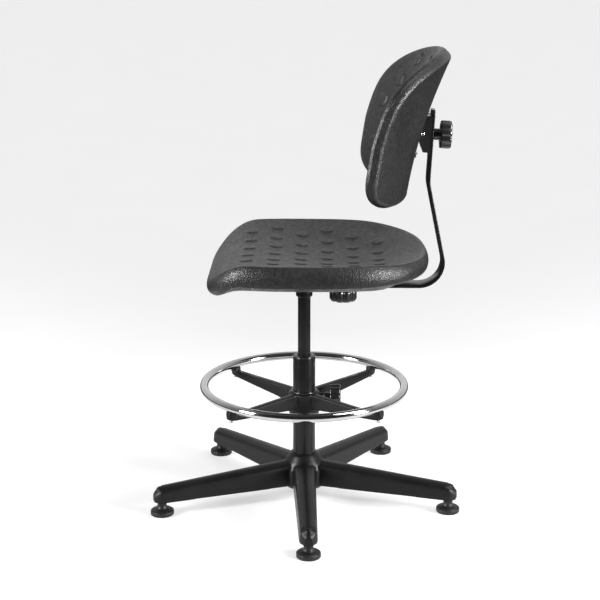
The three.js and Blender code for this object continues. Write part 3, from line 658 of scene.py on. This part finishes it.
# ---------- backrest ----------
BACK_HALF = 233.0
BACK_LOW = 698.0
BACK_HIGH = 1010.5
BACK_MIDDLE = np.array([0.0, 862.0])
BACK_EDGE = 4.5  # radius of the shell's front edge
BACK_HEEL = 12.0  # how far the shell's rear edge rounds forward
BACK_HEEL_IN = 8.0  # and how far it rounds inward


def inside_back(offsets):
    x, z = np.abs(offsets[:, 0]), offsets[:, 1]
    below = (x / BACK_HALF) ** 3.8 + (np.abs(z) / (BACK_MIDDLE[1] - BACK_LOW)) ** 6.5
    above = (x / BACK_HALF) ** 2.4 + (np.abs(z) / (BACK_HIGH - BACK_MIDDLE[1])) ** 3.2
    return np.where(z < 0, below, above) < 1


def back_thickness(x, z):
    """The shell thins out towards its wings, its top and its bottom."""
    reach = np.where(z < 850, 170, 185)
    full = 35 * np.sqrt(np.clip(1 - np.abs((z - 850) / reach) ** 4, 0.25, 1)) + 3
    return full - 15 * (x / BACK_HALF) ** 2


def back_middle(x, z):
    """Y of the shell's middle surface: it bows forward at the wings and leans back upwards."""
    rise = (z - 700) / 100
    front = 221 + 14 * rise + 5.2 * rise**2 - back_thickness(0, z)
    bow = (78 - 5 * smooth(-z, -850, -780)) * (x / BACK_HALF) ** 2
    return front + back_thickness(x, z) / 2 - bow


BACK_DISCS = [
    (75 * (i - (count - 1) / 2), z)
    for z, count in ((737, 5), (785, 6), (833, 5), (880, 6), (928, 5), (975, 4))
    for i in range(count)
]


def back_faces(x, z):
    """Points on the shell's front and rear faces, and the direction its middle faces."""
    middle = np.column_stack([x, back_middle(x, z), z])
    step = 0.5
    slope_x = (back_middle(x + step, z) - back_middle(x - step, z)) / (2 * step)
    slope_z = (back_middle(x, z + step) - back_middle(x, z - step)) / (2 * step)
    normal = unit(np.column_stack([slope_x, -np.ones_like(x), slope_z]))
    # towards the wings the edge faces turn from square to the shell to straight ahead
    ahead = unit(normal + np.outer(0.8 * (x / 228) ** 2, (0, -1, 0)))
    half = back_thickness(x, z) / 2 / np.sum(ahead * normal, axis=1)
    return middle + ahead * half[:, None], middle - ahead * half[:, None], normal


def back_skin():
    radius, directions, border, quads = disc_grid(GRID)
    reach = reach_along(inside_back, directions, 400)
    border_reach = reach[border]
    share = (border_reach - BACK_EDGE) / border_reach
    turn = np.arctan2(directions[:, 1], directions[:, 0])
    order = np.argsort(turn[border])
    shrink = np.interp(turn, turn[border][order], share[order], period=2 * math.pi)
    offsets = directions * (radius * reach * shrink)[:, None]
    flat = offsets + BACK_MIDDLE
    front, rear, normal = back_faces(flat[:, 0], flat[:, 1])
    lumps, disc_wear = raised_discs(flat[:, 0], flat[:, 1], BACK_DISCS)
    through = rear[border] - front[border]
    depth = np.linalg.norm(through, axis=1)
    through = unit(through)
    edge = front[border]
    along = unit(np.roll(edge, -1, axis=0) - np.roll(edge, 1, axis=0))
    outward = unit(np.cross(along, through))
    away = edge - np.array([0, 160, BACK_MIDDLE[1]])
    outward = outward * np.sign(np.sum(outward * away, axis=1))[:, None]
    front = front + normal * lumps[:, None]
    inner = offsets * (1 - (BACK_HEEL_IN - BACK_EDGE) / (reach * shrink))[:, None] + BACK_MIDDLE
    rear = back_faces(inner[:, 0], inner[:, 1])[1]
    corner = np.linspace(0, math.pi / 2, 9)[1:]
    rings = []
    for angle in corner:
        a, b = BACK_EDGE * math.sin(angle), BACK_EDGE * (1 - math.cos(angle))
        rings.append(edge + outward * a + through * b)
    heel_pull = np.minimum(BACK_HEEL, 0.5 * depth)[:, None]
    flank = depth[:, None] - BACK_EDGE - heel_pull
    for t in (0.2, 0.4, 0.6, 0.8):
        bulge = 1.6 * (1 - (2 * t - 1) ** 2)
        rings.append(edge + outward * (BACK_EDGE + bulge) + through * (BACK_EDGE + flank * t))
    for angle in corner[::-1]:
        a = BACK_EDGE - BACK_HEEL_IN * (1 - math.sin(angle))
        b = depth[:, None] - heel_pull * (1 - math.cos(angle))
        rings.append(edge + outward * a + through * b)
    count = len(border)
    points = np.concatenate([front] + rings + [rear])
    start = len(front)
    faces = [tuple(q) for q in quads.tolist()] + skirt(border, start, len(rings))
    end = start + (len(rings) - 1) * count
    rear_start = end + count
    for i in range(count):
        j = (i + 1) % count
        faces.append((end + i, end + j, rear_start + border[j], rear_start + border[i]))
    faces += [tuple(rear_start + i for i in q[::-1]) for q in quads.tolist()]
    # the disc rims, the rim of the front face and both edges of the side band are painted lighter: partly
    # wear, partly painted highlight
    wear = np.zeros(len(points))
    wear[:start] = disc_wear * 0.6 + 0.5 * smooth(radius, 0.95, 1.0)
    for k in range(len(rings)):
        share = k / (len(rings) - 1)
        strength = 0.5 * abs(2 * share - 1) ** 2
        wear[start + k * count:start + (k + 1) * count] = strength
    obj = mesh_object("back_skin", (points, faces))
    add_wear(obj, wear)
    pocket = prism(fillet([(-44, -53), (44, -53), (44, 55), (-44, 55)], 8), 0, 90, 0.5)
    groove = prism(fillet([(-32, -45), (32, -45), (32, 20), (-32, 20)], 10), 0, 90, 0.5)
    carve(
        obj,
        placed(pocket, (0, 235, 840), ACROSS, BACKWARD),
        placed(groove, (0, 262, 900), ACROSS, BACKWARD),
    )
    finish_piece(obj, "backrest", ("back_pad",), "foam_skin", crease=50)


# ---------- five-foot base ----------
STAR_TURN = 2.4
FOOT_RADIUS = 334.0
HUB_TOP = 106.0
DOME_RADIUS = 10.5  # the round lump over each glide


def arm_shape():
    """One arm along +X: crowned on top, open underneath, with a drooping round end."""
    rings = []
    tip = FOOT_RADIUS + 19
    for x in [22, 45, 70, 110, 160, 210, 260, 300, 318, 330, 340, 347, 351, tip]:
        t = x / tip
        end = math.sqrt(max(1 - 0.80 * float(smooth(x, FOOT_RADIUS - 6, tip + 2)) ** 2.2, 0.05))
        half = mix(27.0, 20.0, t) * end
        base = mix(35, 31, t)
        crown = mix(94, 67, t) - 14 * float(smooth(x, FOOT_RADIUS - 8, tip + 4)) ** 2
        hollow = float(smooth(x, 60, 90)) * (1 - float(smooth(x, 285, 312)))
        channel = mix(0.6, crown - base - 9, hollow)
        shoulder = crown - 8
        wall = 5.0
        corners = [
            (half, base, 2.0), (half - 2.5, shoulder, 9.0), (0, crown, 26.0), (-half + 2.5, shoulder, 9.0),
            (-half, base, 2.0), (-half + wall, base, 0), (-half + wall + 1.5, base + channel, 0),
            (half - wall - 1.5, base + channel, 0), (half - wall, base, 0),
        ]
        section = fillet(corners, 0, 6)
        rings.append(np.column_stack([np.full(len(section), x), section]))
    return loft(rings)


def base_casting():
    hub = fillet(
        [(0, 26), (44, 26), (48, 38), (49, 72), (42, 88), (31, HUB_TOP), (0, HUB_TOP)], 8, 5, closed=False
    )
    shapes = [lathe(hub, 96)]
    half_turn = np.linspace(-math.pi / 2, math.pi / 2, 17)
    ball = [(DOME_RADIUS * math.cos(a), DOME_RADIUS * math.sin(a)) for a in half_turn]
    for foot in range(5):
        arm = arm_shape()
        dome = placed(lathe(ball, 32), (FOOT_RADIUS + 3, 0, 55.5))
        boss = placed(lathe([(0, 29.8), (13, 29.8), (13, 50), (0, 50)], 32), (FOOT_RADIUS, 0, 0))
        shapes += [turned(shape, STAR_TURN + 72 * foot) for shape in (arm, dome, boss)]
    obj = mesh_object("base_casting", merged(*shapes))
    fuse(obj, 2.0, 8)
    carve(obj, lathe([(0, 0), (25.3, 0), (25.3, 140), (0, 140)], 96))
    finish_piece(obj, "base", ("base_star",), "cast_black", crease=50)


GLIDE_PROFILE = [
    (0, 0.6), (21.5, 0.6, 0.4), (23, 0, 0.3), (24.6, 0, 0.6), (26, 1.6, 1.2), (26, 9.6, 2.6),
    (21.5, 12.6, 2.0), (13.2, 14.2, 6), (10.2, 20.5, 5), (10.8, 27.0, 2), (12.6, 29.4, 0.5), (0, 29.4),
]


def glides():
    for foot in range(5):
        shape = placed(lathe(fillet(GLIDE_PROFILE, 1, 5, False), 56), (FOOT_RADIUS, 0, 0))
        number = foot + 1
        piece(f"glide_{number}_foot", turned(shape, STAR_TURN + 72 * foot), "base", "glide_black",
              (f"glide_{number}",), crease=60)


# ---------- gas lift ----------
def gas_lift():
    outer = fillet(
        [(6, 22), (25, 22, 3), (25, 332, 1.6), (23.2, 332, 0.5), (23, 26), (6, 26)], 0.3, 4
    )
    piece("lift_outer_tube", lathe(outer, 96, loop=True), "base", "gloss_black", ("outer_tube",))
    lip = fillet(
        [(14.4, 262), (22.6, 262), (22.6, 332.3), (24.6, 332.3, 0.5), (24.6, 334.6, 1.4),
         (17.2, 336.0, 1.6), (15.6, 335.2, 0.6), (14.4, 333.4, 0.4)], 0.4, 4
    )
    piece("lift_bush", lathe(lip, 96, loop=True), "base", "knob_black", ("guide_bush",))
    inner = fillet(
        [(12, 162), (14, 162, 1), (14, 467), (12.9, 500, 0.6), (3.4, 500), (3.4, 486), (12, 486)], 0.3, 4
    )
    piece("lift_inner_tube", lathe(inner, 96, loop=True), "seat", "gloss_black", ("pressure_tube",))
    socket = fillet(
        [(14.4, 471.4), (17.0, 471.4, 0.8), (18.4, 473.4, 1.0), (18.4, 482, 1.2), (17.6, 484, 1.0),
         (17.6, 522.1, 0.5), (14.4, 522.1)], 0.3, 4
    )
    window = prism(fillet([(-10, -6), (10, -6), (10, 6), (-10, 6)], 1.5), 0, 30, 0.2)
    piece("lift_socket", lathe(socket, 72, loop=True), "seat", "gloss_black", ("taper_socket",),
          cuts=[placed(window, (-20, 0, 502.5))])


# ---------- foot ring ----------
RING_RADIUS = 224.0
RING_HEIGHT = 265.0
RING_TUBE = 9.5  # the hoop tube's radius
SPOKE_TURN = 46.5
SPOKE_TOP = 250.0
RING_CLAMP_HEIGHT = 235.0


def spoke_shape():
    rings = []
    for x, width, depth in ((26, 18, 38), (45, 17.5, 34), (90, 16.5, 28), (160, 15.5, 21), (215, 15, 15),
                            (229, 14.5, 12), (234, 11, 9)):
        half = width / 2
        low = SPOKE_TOP - depth
        section = fillet(
            [(half, low, 2.2), (half - 0.8, SPOKE_TOP, 3.2), (-half + 0.8, SPOKE_TOP, 3.2),
             (-half, low, 2.2)], 2, 4,
        )
        rings.append(np.column_stack([np.full(len(section), x), section]))
    footprint = fillet([(-9.5, -8), (9.5, -8), (9.5, 8), (-9.5, 8)], 2.5)
    saddle = prism(footprint, SPOKE_TOP - 4, RING_HEIGHT - 7, 0.8)
    return merged(loft(rings), placed(saddle, (RING_RADIUS, 0, 0)))


def torus(extra=0.0, around=200, section=28):
    """The hoop, or a shape extra millimetres fatter that cuts its seats in the spokes."""
    turns = ring(section) * (RING_TUBE + extra)
    rings = []
    for cx, cy in ring(around):
        radius = RING_RADIUS + turns[:, :1]
        rings.append(np.column_stack([radius * cx, radius * cy, RING_HEIGHT + turns[:, 1:]]))
    return loft(rings, loop=True)


def foot_ring():
    piece("ring_hoop", torus(), "foot_ring", "chrome", ("ring_tube",), crease=None)
    hub = fillet(
        [(0, 195), (31, 195, 2.5), (34, 199, 2), (34, 243, 1.5), (35.2, 245, 1), (35.2, 249, 1.6),
         (31, 251, 1.5), (0, 251)], 1, 4, closed=False
    )
    clamp = (0, 0, RING_CLAMP_HEIGHT)
    boss_side = fillet([(0, 0), (13, 0), (11, 42, 1), (0, 42)], 0.5, 3, False)
    boss = placed(lathe(boss_side, 32), clamp, ACROSS, BACKWARD)
    shapes = [lathe(hub, 72), boss]
    shapes += [turned(spoke_shape(), SPOKE_TURN + 90 * arm) for arm in range(4)]
    obj = mesh_object("ring_spokes", merged(*shapes))
    fuse(obj, 1.5, 3)
    bore = lathe([(0, 190), (27.6, 190), (27.6, 260), (0, 260)], 96)
    stud = placed(lathe([(0, 0), (5.3, 0), (5.3, 60), (0, 60)], 24), clamp, ACROSS, BACKWARD)
    carve(obj, bore, stud, torus(0.3, 96, 20))
    finish_piece(obj, "foot_ring", ("ring_spider",), "cast_black", crease=45)
    liner = fillet(
        [(25.3, 197), (27.3, 197), (27.3, 251.3), (29.8, 251.3, 0.3), (29.8, 253.8, 1),
         (25.3, 253.8, 0.6)], 0.2, 3
    )
    piece("ring_sleeve", lathe(liner, 96, loop=True), "foot_ring", "knob_black", ("ring_liner",),
          cuts=[stud])


# ---------- clamp knobs ----------
CLAMP_HEIGHT = 832.5
BAR_KNEE = np.array([267.2, 729.0])  # [y, z] where the backrest bar turns upright
BAR_END = np.array([275.4, 886.0])
BAR_HALF_THICK = 4.0
BAR_LEAN = math.atan2(BAR_END[0] - BAR_KNEE[0], BAR_END[1] - BAR_KNEE[1])
CLAMP_FACE = BAR_KNEE[0] + (CLAMP_HEIGHT - BAR_KNEE[1]) * math.tan(BAR_LEAN) - BAR_HALF_THICK
HEAD_HEIGHT = 24.0  # a knob's fluted head


def knob_shape(boss_height):
    """A fluted knob about +Z: boss from 0, head from boss_height, with a sunk crown."""
    lobes = 9
    count = lobes * 20
    turn = np.arange(count) * 2 * math.pi / count
    flute = (0.5 + 0.5 * np.cos(lobes * turn)) ** 2.2
    outline = 30.3 - 3.6 * flute
    circle = ring(count)
    low, high = boss_height, boss_height + HEAD_HEIGHT
    rings = []

    def add(radius, z):
        rings.append(np.column_stack([circle * np.asarray(radius).reshape(-1, 1), np.full(count, z)]))

    for radius, z in ((0, 0), (11.6, 0), (12.5, 0.9), (12.5, max(low - 1, 1)), (13.5, low + 3),
                      (19, low + 3.4)):
        add(np.full(count, radius), z)
    for inset, z in ((5, low + 0.6), (3.2, low), (1.2, low + 0.6), (0.2, low + 2.2), (0, low + 4),
                     (0, high - 5), (0.4, high - 2.6), (1.4, high - 0.9), (3.0, high)):
        add(outline - inset, z)
    for radius, z in ((22.4, high), (21.4, high - 0.6), (21, high - 1.6), (20.6, high - 2.2),
                      (12, high - 1.5), (0, high - 1.2)):
        add(np.full(count, radius), z)
    return loft(rings, caps=False)


def clamp_knobs():
    back = np.array([0, math.cos(BAR_LEAN), -math.sin(BAR_LEAN)])
    start = np.array([0, CLAMP_FACE, CLAMP_HEIGHT]) + back * 9.5
    piece("height_clamp_knob", placed(knob_shape(13), start, ACROSS, back), "height_clamp",
          "knob_black", ("height_knob",))
    piece("ring_clamp_knob", placed(knob_shape(12), (0, 46, RING_CLAMP_HEIGHT), ACROSS, BACKWARD),
          "ring_clamp", "knob_black", ("ring_knob",))
    knob_low, knob_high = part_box("depth_knob")
    top = knob_high.z / MM
    depth = top - knob_low.z / MM
    piece("depth_clamp_knob", placed(knob_shape(depth - HEAD_HEIGHT), (0, 86, top), ACROSS, (0, 0, -1)),
          "depth_clamp", "knob_black", ("depth_knob",))


# ---------- backrest bar ----------
def bar_path():
    """[y, z] points up the bar's middle: level leg, bend, leaning run, knee and upright end."""
    leg, bend = 499.5, 52.0
    lean = math.radians(11.8)
    knee, end = BAR_KNEE, BAR_END
    centre_z = leg + bend
    tangent_z = centre_z + bend * math.sin(lean)
    tangent_y = knee[0] + (knee[1] - tangent_z) * math.tan(lean)
    centre_y = tangent_y - bend * math.cos(lean)
    points = [(42.0, leg)]
    points += [(mix(42.0, centre_y, t), leg) for t in (0.02, 0.04, 0.5, 0.98)]
    for turn in np.linspace(-math.pi / 2, lean, 40):
        points.append((centre_y + bend * math.cos(turn), centre_z + bend * math.sin(turn)))
    start = np.array([tangent_y, tangent_z])
    points += [tuple(mix(start, knee, t)) for t in (0.04, 0.5, 0.9)]
    bend_in, bend_out = mix(start, knee, 0.93), mix(knee, end, 0.07)
    for t in np.linspace(0, 1, 8):
        points.append(tuple((1 - t) ** 2 * bend_in + 2 * t * (1 - t) * knee + t**2 * bend_out))
    points += [tuple(mix(knee, end, t)) for t in (0.5, 0.93)]
    points += [tuple(mix(knee, end, t)) for t in (0.95, 0.965, 0.98, 0.99, 0.997, 1.0)]
    return np.array(points)


def back_bar():
    path = bar_path()
    run = np.gradient(path, axis=0)
    run = run / np.linalg.norm(run, axis=1, keepdims=True)
    side = np.stack([-run[:, 1], run[:, 0]], axis=1)
    length = np.concatenate([[0], np.cumsum(np.linalg.norm(np.diff(path, axis=0), axis=1))])
    rings = []
    for (y, z), (ny, nz), s in zip(path, side, length):
        gap = min(s, length[-1] - s)
        round_end = 9.0
        pull = round_end - math.sqrt(max(round_end**2 - max(round_end - gap, 0) ** 2, 0))
        half = 22.5 - pull
        edge = BAR_HALF_THICK - 1.2 * max(1 - gap / 1.2, 0)
        section = fillet([(-half, -edge), (half, -edge), (half, edge), (-half, edge)], 1.8, 5)
        rings.append(np.column_stack([section[:, 0], y + ny * section[:, 1], z + nz * section[:, 1]]))
    slot = placed(
        prism(fillet([(-5.3, -52), (5.3, -52), (5.3, 32), (-5.3, 32)], 5.2), -40, 40, 0.2),
        (0, 270, CLAMP_HEIGHT), ACROSS, FORWARD,
    )
    piece("back_bar_strip", loft(rings), "bar", "gloss_black", ("back_bar",), crease=40, cuts=[slot])


def slider():
    """The housing that runs on the bar, with its washer and the pin that the backrest tilts on."""
    start = np.array([0, CLAMP_FACE, CLAMP_HEIGHT])
    up = np.array([0, math.sin(BAR_LEAN), math.cos(BAR_LEAN)])
    back = np.array([0, math.cos(BAR_LEAN), -math.sin(BAR_LEAN)])
    outline = fillet(
        [(-0.3, -35, 0.8), (-0.3, 40, 0.8), (-13, 40, 5), (-22, 16, 8), (-23, -10, 8),
         (-13, -35, 3)], 1, 5
    )[::-1]
    points, faces = prism(outline, -28, 28, 1.6, 4)
    ready = points[:, 2:3] * np.array([1.0, 0, 0]) + points[:, :1] * back + points[:, 1:2] * up
    ready = ready + start
    stud = placed(lathe([(0, -30), (5.3, -30), (5.3, 10), (0, 10)], 24), start, ACROSS, back)
    pin = placed(lathe([(0, -40), (4.3, -40), (4.3, 40), (0, 40)], 32), PIVOT, BACKWARD, ACROSS)
    slots = [
        placed(prism(fillet([(-1.8, -20), (1.8, -20), (1.8, 20), (-1.8, 20)], 0.4), 0, 40, 0.2),
               (x, 263.5, 835.8), ACROSS, FORWARD)
        for x in (-18.5, 18.5)
    ]
    piece("slider_block", (ready, faces), "slider", "knob_black", ("slider_housing",),
          cuts=[stud, pin] + slots)
    washer = fillet([(5.3, 0.3), (11, 0.3, 0.3), (11, 1.2, 0.3), (5.3, 1.2)], 0.2, 2)
    piece("slider_washer", placed(lathe(washer, 48, loop=True), start + back * 8, ACROSS, back),
          "slider", "zinc", ("clamp_washer",))
    pin_body = fillet(
        [(0, -28.2), (2.4, -28.2), (4, -27.2, 0.6), (4, 27.2, 0.6), (2.4, 28.2), (0, 28.2)], 0.4, 3, False)
    piece("pivot_shaft", placed(lathe(pin_body, 40), PIVOT, BACKWARD, ACROSS), "backrest", "chrome",
          ("pivot_pin",))


# ---------- seat frame ----------
BOLT_PLACES = (-75, -80), (75, -80), (-75, 110), (75, 110)


def trough(outline, start, end, bevel):
    """An [x, z] outline drawn out along Y."""
    points, faces = prism(outline, start, end, bevel)
    return points[:, [0, 2, 1]], faces


def seat_frame():
    """The cross-shaped plate under the seat, the channel that holds the bar, and the bolts."""
    cross = fillet(
        [(42, -100), (42, -98), (95, -98), (95, -62), (42, -62), (42, 92), (95, 92), (95, 128), (42, 128),
         (42, 150), (-42, 150), (-42, 128), (-95, 128), (-95, 92), (-42, 92), (-42, -62), (-95, -62),
         (-95, -98), (-42, -98), (-42, -100)], 6, 4
    )
    bolt_hole = lathe([(0, 500), (4.3, 500), (4.3, 540), (0, 540)], 24)
    holes = [placed(bolt_hole, (x, y, 0)) for x, y in BOLT_PLACES]
    piece("seat_cross", prism(cross, 522.5, 525.7, 0.8), "seat", "gloss_black", ("seat_plate",), cuts=holes)
    outside = fillet([(-25.8, 492.2), (25.8, 492.2), (25.8, 522.2, 0.5), (-25.8, 522.2, 0.5)], 4.5, 5)
    inside = fillet([(-22.8, 495.2), (22.8, 495.2), (22.8, 540, 0.5), (-22.8, 540, 0.5)], 1.5, 4)
    hole = placed(lathe([(0, 480), (5.3, 480), (5.3, 500), (0, 500)], 24), (0, 86, 0))
    # the bevel is smaller than the outline's tightest corner, or the cut leaves nothing
    piece("seat_channel", trough(outside, 30, 176, 0.4), "seat", "gloss_black", ("bar_channel",),
          cuts=[trough(inside, 20, 190, 0.2), hole])
    bolt = fillet(
        [(0, 519.0), (3.2, 519.0, 0.3), (3.6, 516.4, 0.3), (7.2, 518.6, 1.4), (7.2, 522.2, 0.4),
         (4, 522.2), (4, 533.7), (0, 533.7)], 0.3, 4, False
    )
    for number, (x, y) in enumerate(BOLT_PLACES, 1):
        piece(f"seat_bolt_{number}_head", placed(lathe(bolt, 40), (x, y, 0)), "seat", "zinc",
              (f"seat_bolt_{number}",))


def lever():
    knots = [(2, 0, 511), (-16, 0, 511), (-34, 0, 511), (-70, 0, 505), (-120, 0, 496), (-182, 0, 489)]
    path = smoothed_path(knots, 8)
    pin = placed(lathe([(0, -20), (2.3, -20), (2.3, 20), (0, 20)], 20), (-28, 0, 511), ACROSS, BACKWARD)
    piece("lever_rod", sweep(path, ring(24) * 3.95, BACKWARD), "lever", "zinc", ("height_lever",),
          cuts=[pin])
    outline = fillet(
        [(-170, -9), (-170, 9), (-200, 15.5), (-224, 10, 14), (-224, -10, 14), (-200, -15.5)], 4, 6
    )[::-1]
    slab = prism(outline, 484.6, 497.4, 3.4, 5)
    opening = prism(fillet([(-17, -5), (17, -5), (17, 5), (-17, 5)], 1), 0, 16, 0.2)
    socket = placed(opening, (-167, 0, 482.5))
    piece("lever_handle", slab, "lever", "knob_black", ("lever_paddle",), cuts=[socket])


# ---------- CAD pieces that keep their own mesh ----------
KEPT = {
    "zinc": ["thrust_bearing", "retaining_clip", "valve_pin", "ring_stud", "depth_stud", "height_stud",
             "weld_nut", "lever_pin", "back_bracket"]
    + [f"glide_stem_{k}" for k in range(1, 6)]
    + [f"back_screw_{k}" for k in range(1, 5)]
    + [f"ring_screw_{k}" for k in range(1, 5)],
    "chrome": ["piston_rod"],
    "grey_plastic": ["rod_gland", "bar_liner"],
    "rubber": ["rubber_buffer"],
    "gloss_black": ["lever_bracket"],
    "board_ply": ["seat_board"],
}


def kept_nodes():
    for slot, names in KEPT.items():
        for name in names:
            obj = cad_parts[name]
            for place in obj.material_slots:
                place.material = FINISHES[slot]
            edge = obj.modifiers.new("edge", "BEVEL")
            edge.width = 0.0005
            edge.segments = 2
            edge.limit_method = "ANGLE"
            edge.angle_limit = math.radians(40)
            edge.harden_normals = False


# ---------- studio ----------
FLOOR_GLOW = 0.48
BACKDROP_LEVEL = 0.86
CARD_START = 1.1
BOX_SIZE = 0.6, 1.4
BOX_TARGET = 0, 0, 0.78
BOX_SPREAD = math.radians(44)  # a grid on each box keeps its beam off the floor


def stage_sheet(name, points, faces, material):
    mesh = bpy.data.meshes.new(name)
    mesh.from_pydata(points, [], faces)
    mesh.materials.append(material)
    sheet = bpy.data.objects.new(name, mesh)
    bpy.context.scene.collection.objects.link(sheet)
    return sheet


def studio_floor():
    side = 60
    corners = [(-side, -side, 0), (side, -side, 0), (side, side, 0), (-side, side, 0)]
    n = Nodes("studio_floor")
    mottle = n.noise(3, 3)
    finish = n.set(
        Base_Color=n.blend(mottle, grey(0.58), grey(0.61)), Roughness=n.span(mottle, 0, 1, 0.5, 0.6),
        Specular_IOR_Level=0.15, Emission_Color=grey(1.0), Emission_Strength=FLOOR_GLOW)
    stage_sheet("studio_floor", corners, [(0, 1, 2, 3)], finish)


def backdrop():
    """A pale round wall far off, which lights nothing and shows in no reflection."""
    radius, height = 55.0, 45.0
    points = [(x * radius, y * radius, z) for z in (-height, height) for x, y in ring(64)]
    n = Nodes("backdrop")
    finish = n.set(Base_Color=grey(0.02), Roughness=n.span(n.noise(2), 0, 1, 0.8, 0.9),
                   Emission_Color=grey(1.0), Emission_Strength=BACKDROP_LEVEL)
    wall = stage_sheet("backdrop", points, bridge(0, 64, 64), finish)
    wall.visible_diffuse = False
    wall.visible_glossy = False
    wall.visible_shadow = False


def dark_card():
    """A black card on the far floor that only shows in reflections, as black flags do in a studio."""
    circle = ring(64)
    points = [(x * r, y * r, 0.002) for r in (CARD_START, 50.0) for x, y in circle]
    n = Nodes("dark_card")
    finish = n.set(Base_Color=grey(0.02), Roughness=n.span(n.noise(2), 0, 1, 0.8, 0.9))
    card = stage_sheet("dark_card", points, bridge(0, 64, 64), finish)
    card.visible_camera = False
    card.visible_diffuse = False
    card.visible_shadow = False


def box_light(name, place, power):
    data = bpy.data.lights.new(name, "AREA")
    data.shape = "RECTANGLE"
    data.size, data.size_y = BOX_SIZE
    data.energy = power
    data.spread = BOX_SPREAD
    light = bpy.data.objects.new(name, data)
    bpy.context.scene.collection.objects.link(light)
    light.location = place
    light.rotation_euler = (Vector(BOX_TARGET) - Vector(place)).to_track_quat("-Z", "Y").to_euler()


def studio_light():
    sun = bpy.data.lights.new("key", "SUN")
    sun.energy = 1.5
    sun.angle = math.radians(24)
    key = bpy.data.objects.new("key", sun)
    bpy.context.scene.collection.objects.link(key)
    key.rotation_euler = Vector((-0.10, -0.60, -1.0)).to_track_quat("-Z", "Y").to_euler()
    box_light("left_box", (1.1, -2.1, 1.3), 16)
    box_light("right_box", (1.1, 2.2, 1.15), 18)


def studio_world():
    """Surrounding light that is bright towards -X and dark towards the camera's side, +X."""
    world = bpy.data.worlds.new("studio")
    bpy.context.scene.world = world
    world.use_nodes = True
    tree = world.node_tree
    place = tree.nodes.new("ShaderNodeTexCoord")
    level = tree.nodes.new("ShaderNodeVectorMath")
    level.operation = "DOT_PRODUCT"
    level.inputs[1].default_value = (-0.60, 0.0, -0.05)
    lift = tree.nodes.new("ShaderNodeMath")
    lift.inputs[1].default_value = 0.30
    floor = tree.nodes.new("ShaderNodeMath")
    floor.operation = "MAXIMUM"
    floor.inputs[1].default_value = 0.03
    tree.links.new(place.outputs["Generated"], level.inputs[0])
    tree.links.new(level.outputs["Value"], lift.inputs[0])
    tree.links.new(lift.outputs[0], floor.inputs[0])
    tree.links.new(floor.outputs[0], tree.nodes["Background"].inputs["Strength"])
    tree.nodes["Background"].inputs["Color"].default_value = (1, 1, 1, 1)
    bpy.context.scene.view_settings.view_transform = "Standard"


make_camera()
seat_skin()
back_skin()
base_casting()
glides()
gas_lift()
foot_ring()
clamp_knobs()
back_bar()
slider()
seat_frame()
lever()
kept_nodes()
studio_floor()
backdrop()
dark_card()
studio_light()
studio_world()
